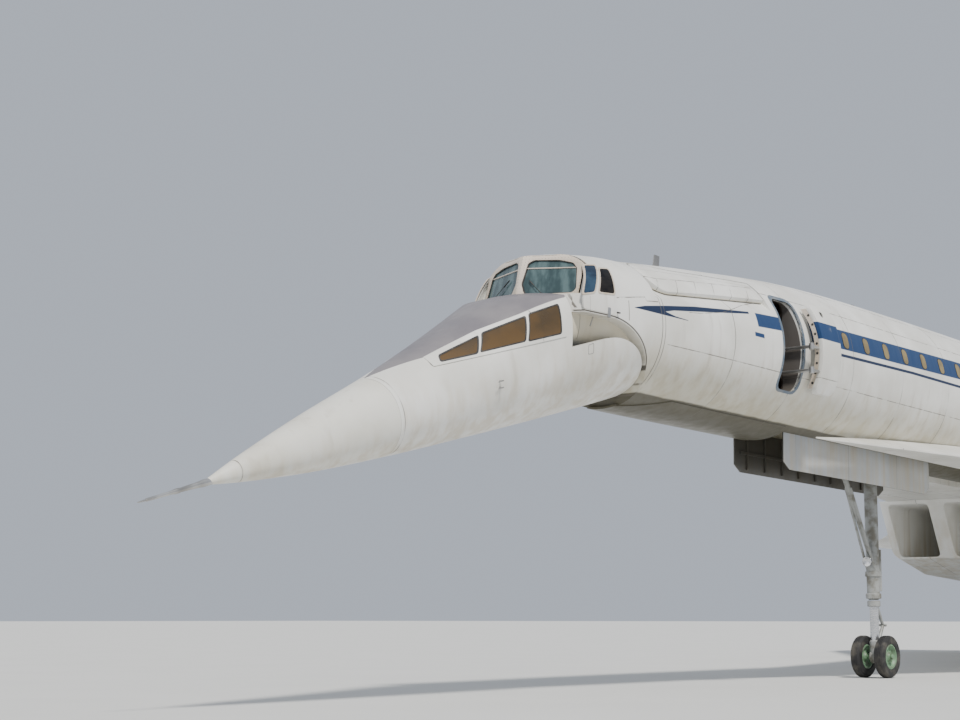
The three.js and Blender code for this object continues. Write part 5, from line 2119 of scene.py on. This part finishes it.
@dataclass
class Tail:
    """The fin and its two rudders."""

    root: float = 1.45
    tip: float = 8.35
    lead: Span = (46.8, 59.6)
    hinge: float = 60.7
    trail: float = 62.3
    thick: Span = (0.62, 0.2)
    ends: Tuple[float, float, float] = (1.74, 4.55, 8.16)
    lug: float = 0.06
    clear: float = 0.012

    def along(self, h: float, pair: Span) -> float:
        """A value that runs evenly from the fin's root to its tip."""
        return pair[0] + (h - self.root) / (self.tip - self.root) * (pair[1] - pair[0])

    def fin(self) -> Piece:
        """The fin as a swept blade with a blunt rear face and a lug at each rudder's end.

        Returns:
            The fin, in airframe stations.
        """
        heights = [0.6, 2.0, 3.6, 5.2, 6.8, self.tip]

        def chord(h: float) -> Tuple[float, float, float]:
            """Front, rear and thickness at a height."""
            thick = self.along(h, self.thick)
            return self.along(h, self.lead), self.hinge - thick * 0.275 - 0.03, thick

        lead, trail, thick = chord(heights[0])
        shares = [(1 - math.cos(math.pi * index / 18)) / 2 for index in range(19)]
        half = [(lead + a * (trail - lead), max(thick * 2 * a * (1 - a / 1.35) * 0.74, 0.01)) for a in shares]
        points = [(s, y, heights[0]) for s, y in half] + [(s, -y, heights[0]) for s, y in reversed(half)]
        moves = []
        for h0, h1 in zip(heights, heights[1:]):
            new_lead, new_trail, new_thick = chord(h1)
            size = ((new_trail - new_lead) / (trail - lead), new_thick / thick, 1)
            moves.append(((new_lead - lead, 0, h1 - h0), size, (new_lead, 0, h1)))
            lead, trail, thick = new_lead, new_trail, new_thick
        fin = swept("fin_skin", points, moves)
        for h in self.ends:
            lug = block("lug", (59.9, 60.82), (-0.07, 0.07), (h, h + self.lug), Axis.UP, 0.03)
            cut(fin, lug, "UNION")
        front, rear, foot = 59.4, 60.62, self.tip - 0.06
        cap = [(front, -0.09, foot), (rear, -0.075, foot), (rear, 0.075, foot), (front, 0.09, foot)]
        return cut(fin, plate("cap", cap, (0, 0, 0.055), 0.04), "UNION")

    def rudder(self, index: int) -> Piece:
        """One rudder with a rounded front edge.

        Args:
            index: 0 for the lower one and 1 for the upper one.

        Returns:
            The rudder, in airframe stations.
        """
        low = self.ends[index] + self.lug + self.clear
        high = self.ends[index + 1] - self.clear
        thick = self.along(low, self.thick) * 0.55
        new_thick = self.along(high, self.thick) * 0.55
        lead, new_lead = self.hinge - thick / 2, self.hinge - new_thick / 2
        shares = [(1 - math.cos(math.pi * number / 18)) / 2 for number in range(19)]
        half = [(lead + a * (self.trail - lead), thick / 2 * math.sqrt(min(1, 6 * a)) * max(1 - a, 0.08))
                for a in shares]
        points = [(s, y, low) for s, y in half] + [(s, -y, low) for s, y in reversed(half[1:])]
        size = ((self.trail - new_lead) / (self.trail - lead), new_thick / thick, 1)
        name = ("lower_rudder_skin", "upper_rudder_skin")[index]
        return swept(name, points, [((new_lead - lead, 0, high - low), size, (new_lead, 0, high))])

    def build(self) -> None:
        """Make the fin and rudders and seat them."""
        fit(self.fin(), "airframe", FIN_PAINT, FIXED, "fin", angle=20)
        for index, body in enumerate(("lower_rudder", "upper_rudder")):
            rudder = self.rudder(index)
            low, high = self.ends[index] + 0.035, self.ends[index + 1] + 0.02
            pin = rod(f"{body}_pin", (self.hinge, 0, low), (self.hinge, 0, high), 0.045)
            fit(rudder, body, FIN_PAINT, FIXED, body)
            fit(pin, body, STEEL, FIXED)


@dataclass
class EngineBox:
    """A two-engine box under the wing, with its intakes, nozzles and the main gear's bay."""

    y: float = 3.03
    half: float = 1.7
    front: float = 31.0
    rear: float = 56.2
    low: float = -3.9
    duct: float = 0.85
    duct_half: float = 0.62
    under: float = -1.782
    engine_h: float = -2.86
    bore: float = 0.66
    nozzle_end: float = 57.4
    engine_front: float = 47.6
    bay: Tuple[float, float, float, float] = (39.4, 42.8, 0.2, -2.2)

    def shell(self) -> Piece:
        """The box with rounded lower edges, cut for the ducts, jet pipes and gear bay.

        Returns:
            The starboard shell, in airframe stations.
        """
        front, low, y = self.front, self.low, self.y - self.half
        side = [(front, self.under), (front + 0.9, low + 0.5), (front + 2.6, low + 0.12), (front + 6, low),
                (52, low), (self.rear, low + 0.35), (self.rear, self.under)]
        shell = plate("engine_box_starboard", [(s, y, h) for s, h in side], (0, 2 * self.half, 0))
        take(shell)
        bpy.ops.object.mode_set(mode="EDIT")
        choose(shell, "EDGE", lambda edge: all(vert.co.z < -3.2 for vert in edge.verts)
               and abs(edge.verts[0].co.y - edge.verts[1].co.y) < 0.01)
        bpy.ops.mesh.bevel(offset=0.26, segments=6)
        closed(shell)
        for at in (-self.duct, self.duct):
            centre, wide = self.y + at, self.duct_half
            cut(shell, block("mouth", (front - 1, front + 5), (centre - wide, centre + wide),
                             (low + 0.55, self.under - 0.1), Axis.ALONG, 0.12))
            ends = [(s, centre, self.engine_h) for s in (self.engine_front, self.rear + 1)]
            cut(shell, rod("pipe", *ends, self.bore + 0.006, steps=48))
        first, last, half, roof = self.bay
        cut(shell, block("bay", (first, last), (self.y - half, self.y + half), (-5, roof), Axis.UP))
        return softened(shell, 0.025, 2, 40)

    def duct_face(self, centre: float) -> List[Piece]:
        """The compressor face at the end of a duct: a ring, a spinner and its blades.

        Args:
            centre: the duct's Y.

        Returns:
            The loose pieces of the face.
        """
        s, h = self.front + 4.9, -2.6
        profile = [(-0.5, 0.0), (-0.38, 0.09), (-0.2, 0.16), (0.02, 0.2), (0.02, 0.0)]
        spinner = revolved("spinner", [(s + along, centre, h + out) for along, out in profile],
                           (0, centre, h), (1, 0, 0), 24)
        pieces = [spinner]
        blade = plate("blade", [(s - 0.06, centre - 0.05, h + 0.18), (s + 0.05, centre + 0.03, h + 0.18),
                                (s + 0.03, centre + 0.09, h + 0.56), (s - 0.03, centre - 0.02, h + 0.56)],
                      (0.012, 0.012, 0))
        for index in range(18):
            pieces.append(copied(blade, "blade", about((s, centre, h), math.tau * index / 18, "X")))
        bpy.data.objects.remove(blade)
        return pieces

    def nozzle(self, centre: float) -> Piece:
        """One jet nozzle: a turned barrel with overlapping petals cut round its rim.

        Args:
            centre: its Y.

        Returns:
            The nozzle, in airframe stations.
        """
        r, end, h = self.bore, self.nozzle_end, self.engine_h
        profile = [(54.42, r * 0.85), (54.42, r - 0.005), (56.3, r), (56.42, r - 0.012), (56.5, r),
                   (end - 0.5, r * 0.965), (end, r * 0.9), (end, r * 0.87), (end - 0.7, r * 0.845),
                   (55.4, r * 0.85)]
        nozzle = revolved("nozzle", [(s, centre, h + radius) for s, radius in (*profile, profile[0])],
                          (0, centre, h), (1, 0, 0), 72)
        side = [(end - 0.62, r * 0.93), (end + 0.1, r * 0.86), (end + 0.1, r * 1.1), (end - 0.62, r * 1.1)]
        slot = plate("slit", [(s, centre - 0.009, h + out) for s, out in side], (0, 0.018, 0))
        for index in range(18):
            cut(nozzle, copied(slot, "slit", about((0, centre, h), math.tau * index / 18, "X")))
        bpy.data.objects.remove(slot)
        return nozzle

    def bay_lining(self) -> Piece:
        """Ribs on the roof of the main gear's bay."""
        front, rear, half, roof = self.bay
        ribs = [block("rib", (s, s + 0.05), (self.y - half, self.y + half), (roof, roof - 0.1), Axis.ALONG)
                for s in (front + 0.4, front + 1.0, front + 1.6, rear - 0.3)]
        return merged("main_bay_ribs_starboard", ribs)

    def build(self) -> None:
        """Make both boxes with all that is in them, and seat them."""
        fit_pair(self.shell(), "airframe", WING_PAINT, FIXED, "nacelle_{}")
        fit_pair(self.bay_lining(), "airframe", BAY_PAINT, FIXED)
        nozzle = self.nozzle(self.y + self.duct)
        face = merged("fan", self.duct_face(self.y + self.duct))
        for side in Side:
            for index, at in enumerate((-1, 1), 1):
                shift = side.value * self.y + at * self.duct - (self.y + self.duct)
                move = Matrix.Translation((0, shift, 0))
                label = f"{side.label}_{index}"
                jet = copied(nozzle, f"jet_{label}", move)
                fit(jet, "airframe", NOZZLE_METAL, FIXED, f"nozzle_{label}")
                fit(copied(face, f"fan_{label}", move), "airframe", ENGINE_METAL, FIXED)
                engine = frame["nodes"][f"engine_{label}"]
                engine.data.materials.clear()
                engine.data.materials.append(ENGINE_METAL.material(FIXED))
        for piece in (nozzle, face):
            bpy.data.objects.remove(piece)


@dataclass
class Wheel:
    """A tyre with grooves on a dished rim with bolts."""

    radius: float = 0.475
    width: float = 0.24
    rim: float = 0.27

    def tyre(self) -> Piece:
        """The tyre, round its own middle, with its axle along Y."""
        r, half, rim = self.radius, self.width / 2, self.rim
        side = [(rim, half * 0.72), (rim + 0.03, half * 0.94), (r * 0.80, half), (r * 0.92, half * 0.93),
                (r * 0.975, half * 0.74), (r * 0.995, half * 0.5), (r, half * 0.42), (r * 0.982, half * 0.38),
                (r * 0.982, half * 0.30), (r, half * 0.26), (r, half * 0.06), (r * 0.982, half * 0.03)]
        points = [*side, *((radius, -y) for radius, y in reversed(side)), side[0]]
        return revolved("tyre", [(radius, y, 0) for radius, y in points], (0, 0, 0), (0, 1, 0), 56)

    def hub(self) -> Piece:
        """The rim, its dish and its ring of bolts, round its own middle."""
        half, rim = self.width / 2, self.rim
        side = [(0.0, half * 0.80), (0.075, half * 0.80), (0.085, half * 0.62), (0.13, half * 0.30),
                (rim * 0.72, half * 0.30), (rim * 0.86, half * 0.62), (rim * 0.90, half * 0.86),
                (rim, half * 0.86), (rim + 0.012, half * 0.78), (rim, half * 0.7)]
        points = side + [(radius, -y) for radius, y in reversed(side)]
        hub = revolved("hub", [(radius, y, 0) for radius, y in points], (0, 0, 0), (0, 1, 0), 48)
        bolts = []
        for index in range(10):
            turn = math.tau * index / 10
            x, z = 0.155 * math.cos(turn), 0.155 * math.sin(turn)
            bolts.append(rod("bolt", (x, -half * 0.42, z), (x, half * 0.42, z), 0.013, steps=6))
        return merged("hub", [hub, *bolts])


@dataclass
class LandingGear:
    """The nose gear and the two four-axle-end main gears, with the nose gear's two bay doors."""

    spread: float = 0.62
    tyre_r: float = 0.475
    nose_tyres: Tuple[float, ...] = (-0.29, 0.29)
    main_tyres: Tuple[float, ...] = (-0.71, -0.29, 0.29, 0.71)
    door_s: Span = (15.95, 22.85)
    door_h: Tuple[float, float, float] = (-1.56, -2.30, -2.45)
    door_y: float = 0.6188
    door_thick: float = 0.04
    door_bars: int = 9
    brackets: Tuple[float, ...] = (16.3, 19.3, 22.3)

    def middle(self, node: str) -> Span:
        """Where a wheel set is, in real metres over the ground.

        Args:
            node: its CAD node.

        Returns:
            Its X and Y.
        """
        low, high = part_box(node)
        real = GROUND.inverted() @ ((low + high) / 2)
        return real.x, real.y

    def wheels(self, node: str, body: str, tyre: Piece, hub: Piece, places: Sequence[float]) -> None:
        """Set the tyres and hubs of one axle, and the axle itself.

        Args:
            node: the CAD node that they stand for.
            body: the body that they turn with.
            tyre: the tyre to copy.
            hub: the hub to copy.
            places: how far each one stands along the axle.
        """
        x, y = self.middle(node)
        tyres, hubs = [], []
        for at in places:
            move = Matrix.Translation((x, y + at, self.tyre_r))
            tyres.append(copied(tyre, "tyre", move))
            hubs.append(copied(hub, "hub", move))
        reach = max(places) + 0.15
        hubs.append(rod("axle", (x, y - reach, self.tyre_r), (x, y + reach, self.tyre_r), 0.06))
        fit(merged(f"tyres_{body}", tyres), body, RUBBER, GROUND, node)
        fit(merged(f"hubs_{body}", hubs), body, WHEEL_PAINT, GROUND)

    def nose_leg(self) -> None:
        """The nose leg: a braced tube above, and the oleo, fork and links that steer below."""
        x, _ = self.middle("nose_wheels")
        top = (GROUND.inverted() @ Vector(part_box("nose_leg")[1])).z - 0.1
        fixed = [rod("cross", (x, -0.61, top), (x, 0.61, top), 0.1),
                 rod("tube", (x, 0, top + 0.02), (x, 0, 2.32), 0.15),
                 rod("tube", (x, 0, 2.34), (x, 0, 1.752), 0.15, 0.14),
                 rod("collar", (x, 0, 2.40), (x, 0, 2.28), 0.18),
                 rod("collar", (x, 0, 1.90), (x, 0, 1.78), 0.175),
                 rod("brace", (x - 1.9, 0, top), (x, 0, 2.6), 0.06),
                 rod("brace", (x - 1.1, 0.06, top - (top - 2.6) * 0.42), (x, 0.1, 2.3), 0.03),
                 rod("brace", (x - 1.1, -0.06, top - (top - 2.6) * 0.42), (x, -0.1, 2.3), 0.03),
                 rod("pivot", (x - 1.9, -0.61, top), (x - 1.9, 0.61, top), 0.06),
                 rod("jack", (x + 0.16, 0.09, 2.9), (x + 0.16, 0.09, 1.95), 0.045),
                 rod("jack", (x + 0.16, -0.09, 2.9), (x + 0.16, -0.09, 1.95), 0.045)]
        fit(merged("nose_leg_tubes", fixed), "airframe", GEAR_PAINT, GROUND, "nose_leg")
        lamp = revolved("taxi_lamp", [(x - 0.16, 0, 2.62), (x - 0.20, 0, 2.70), (x - 0.29, 0, 2.735),
                                      (x - 0.30, 0, 2.725), (x - 0.27, 0, 2.62)], (0, 0, 2.62), (1, 0, 0), 32)
        fit(lamp, "airframe", CHROME, GROUND)
        oleo = rod("nose_oleo", (x, 0, 1.735), (x, 0, 0.62), 0.10)
        fit(oleo, "steering", CHROME, GROUND)
        turning = [rod("hub", (x, -0.1, self.tyre_r), (x, 0.1, self.tyre_r), 0.15),
                   rod("lug", (x, 0, 0.85), (x, 0, 0.42), 0.125, 0.13),
                   rod("ring", (x, 0, 1.735), (x, 0, 1.60), 0.15),
                   rod("link", (x + 0.12, 0, 1.62), (x + 0.42, 0, 1.18), 0.05, 0.035),
                   rod("link", (x + 0.42, 0, 1.18), (x + 0.12, 0, 0.74), 0.035, 0.05),
                   rod("pin", (x + 0.42, -0.09, 1.18), (x + 0.42, 0.09, 1.18), 0.03)]
        fit(merged("nose_steering_links", turning), "steering", GEAR_PAINT, GROUND, "nose_steering")

    def main_leg(self, side: Side) -> None:
        """One main leg with its bogie beam, braces and links.

        Args:
            side: which side it stands on.
        """
        front, y = self.middle(f"wheels_{side.label}_front")
        x = front + self.spread
        top = (GROUND.inverted() @ Vector(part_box(f"main_leg_{side.label}")[1])).z - 0.17
        deck = self.tyre_r + 0.17
        leg = [rod("cross", (x, y - 0.19, top), (x, y + 0.19, top), 0.12),
               rod("tube", (x, y, top + 0.05), (x, y, deck + 0.62), 0.17),
               rod("collar", (x, y, deck + 0.80), (x, y, deck + 0.66), 0.20),
               rod("collar", (x, y, top - 0.75), (x, y, top - 0.85), 0.19),
               rod("brace", (x - 1.2, y, top), (x, y, 1.25), 0.07),
               rod("pivot", (x - 1.2, y - 0.19, top), (x - 1.2, y + 0.19, top), 0.07),
               rod("damper", (x + 0.2, y, deck + 1.5), (x + 0.5, y, deck + 0.04), 0.04),
               rod("link", (x - 0.16, y, deck + 0.60), (x - 0.42, y, deck + 0.34), 0.045),
               rod("link", (x - 0.42, y, deck + 0.34), (x - 0.14, y, deck + 0.08), 0.045)]
        fit(merged(f"main_leg_tubes_{side.label}", leg), "airframe", GEAR_PAINT, GROUND,
                    f"main_leg_{side.label}")
        oleo = rod(f"main_oleo_{side.label}", (x, y, deck + 0.66), (x, y, deck + 0.002), 0.12)
        fit(oleo, "airframe", CHROME, GROUND)
        reach = self.spread + 0.16
        side_line = [(-reach, -0.08), (0.1 - reach, -0.15), (reach - 0.1, -0.15), (reach, -0.08),
                     (reach, 0.08), (0.25, 0.17), (-0.25, 0.17), (-reach, 0.08)]
        beam = plate("beam", [(x + a, y - 0.1, self.tyre_r + b) for a, b in side_line], (0, 0.2, 0))
        for at in (-self.spread, self.spread):
            cut(beam, rod("eye", (x + at, y - 1, self.tyre_r), (x + at, y + 1, self.tyre_r), 0.085))
        beam = softened(beam, 0.015)
        beam.name = f"bogie_beam_{side.label}"
        fit(beam, "airframe", GEAR_PAINT, GROUND, f"bogie_{side.label}")

    def bay_doors(self) -> None:
        """The two long doors that hang open beside the nose leg, with stiffeners and brackets."""
        (front, rear), (top, shoulder, foot) = self.door_s, self.door_h
        inner = self.door_y - self.door_thick - 0.01
        side_line = [(front, top), (front, shoulder), (front + 0.25, foot), (rear - 0.25, foot),
                     (rear, shoulder), (rear, top)]
        name = "nose_bay_door_skin_starboard"
        door = softened(plate(name, [(s, inner, h) for s, h in side_line], (0, self.door_thick, 0)), 0.008)
        bars = []
        for index in range(self.door_bars):
            s = 16.4 + index * 0.75
            bars.append(block("bar", (s, s + 0.06), (inner, inner - 0.035), (-1.6, -2.38), Axis.ACROSS))
        long = (front + 0.2, rear - 0.2)
        bars.append(block("bar", long, (inner, inner - 0.03), (-2.0, -2.06), Axis.ACROSS))
        for s in self.brackets:
            bars.append(block("bracket", (s, s + 0.12), (inner, self.door_y), (-1.66, top), Axis.ACROSS))
        fit_pair(merged(name, [door, *bars]), "airframe", BAY_DOOR_PAINT, FIXED, "nose_bay_door_{}")

    def build(self) -> None:
        """Make every leg, wheel and door and seat them."""
        wheel = Wheel(self.tyre_r)
        tyre, hub = wheel.tyre(), wheel.hub()
        self.wheels("nose_wheels", "nose_wheel_set", tyre, hub, self.nose_tyres)
        for side in Side:
            for end in ("front", "rear"):
                node = f"wheels_{side.label}_{end}"
                self.wheels(node, node, tyre, hub, self.main_tyres)
            self.main_leg(side)
        for piece in (tyre, hub):
            bpy.data.objects.remove(piece)
        self.nose_leg()
        self.bay_doors()


@dataclass(frozen=True)
class BayDoorPaint(WhitePaint):
    """Pale grey outer face of the doors beside the nose wheels, with painted shade darkening their inner
    face.
    """

    name: str = "bay_door_grey"
    clean: Colour = (0.50, 0.53, 0.56)
    dull: Colour = (0.40, 0.41, 0.41)
    # Near-black painted shade of the faces that look in towards the wheels.
    inner: Colour = (0.035, 0.030, 0.020)
    skin: float = 0.60

    def marked(self, shader: Shader, colour: Socket) -> Socket:
        """Lay painted shade over all that faces the wheels."""
        # Painted shade on the faces inboard of the outer skin.
        inside = shader.fall(shader.math("ABSOLUTE", shader.y), self.skin - 0.01, self.skin)
        return shader.veil(inside, 0.93, colour, self.inner)


BAY_DOOR_PAINT = BayDoorPaint()


@dataclass
class Stage:
    """The pale floor, the soft light and the camera at the photo's angle."""

    lens: float = 67.5
    eye: Tuple[float, float, float] = (-24.4032, -9.5050, 0.6720)
    right: Tuple[float, float, float] = (0.6268367, -0.7791507, 0.0)
    up: Tuple[float, float, float] = (-0.1105485, -0.0889377, 0.9898834)
    forward: Tuple[float, float, float] = (0.7712683, 0.6204952, 0.1418833)

    def floor(self) -> None:
        """A wide plane with a faint mottle, just under the tyres."""
        clear()
        bpy.ops.mesh.primitive_plane_add(size=600, location=(0, 0, -0.002))
        plane = bpy.context.object
        plane.name = "floor"
        shader = Shader("pale_floor", Matrix.Identity(4))
        colour = shader.tint(shader.noise(0.6, 3.0), (0.62, 0.62, 0.60), (0.68, 0.68, 0.66))
        plane.data.materials.append(shader.dress(colour, 0.85))

    def light(self) -> None:
        """A pale sky, a soft key from the port side and a weak fill."""
        world = bpy.data.worlds.new("pale_sky")
        bpy.context.scene.world = world
        world.use_nodes = True
        sky = world.node_tree.nodes["Background"]
        sky.inputs["Color"].default_value = (0.80, 0.87, 1.0, 1.0)
        sky.inputs["Strength"].default_value = 0.62
        for name, energy, spread, aim in (("key", 3.9, 7.0, (-0.30, -0.52, 0.80)),
                                          ("fill", 0.35, 40.0, (-0.7, 0.5, 0.4))):
            lamp = bpy.data.lights.new(name, "SUN")
            lamp.energy = energy
            lamp.angle = math.radians(spread)
            lamp.color = (1.0, 0.965, 0.91)
            holder = bpy.data.objects.new(name, lamp)
            holder.rotation_euler = Vector(aim).to_track_quat("Z", "Y").to_euler()
            bpy.context.scene.collection.objects.link(holder)

    def camera(self) -> None:
        """The camera, where the photo was taken from."""
        data = bpy.data.cameras.new("photo_view")
        data.lens = self.lens
        data.sensor_width = 36.0
        data.clip_end = 2000.0
        holder = bpy.data.objects.new("photo_view", data)
        axes = Matrix((self.right, self.up, tuple(-value for value in self.forward))).transposed()
        holder.matrix_world = Matrix.Translation(self.eye) @ axes.to_4x4()
        bpy.context.scene.collection.objects.link(holder)
        bpy.context.scene.camera = holder

    def build(self) -> None:
        """Set the floor, lights and camera."""
        self.floor()
        self.light()
        self.camera()


def main() -> None:
    """Build every sub-assembly in order."""
    logging.basicConfig(level=logging.INFO, format="%(message)s")
    Stage().build()
    DroopNose().build()
    FlightDeck().build()
    FOREPLANES.build()
    Fuselage().build()
    FrontDoor().build()
    Wings().build()
    Tail().build()
    EngineBox().build()
    LandingGear().build()
    clear()


if __name__ == "__main__":
    main()
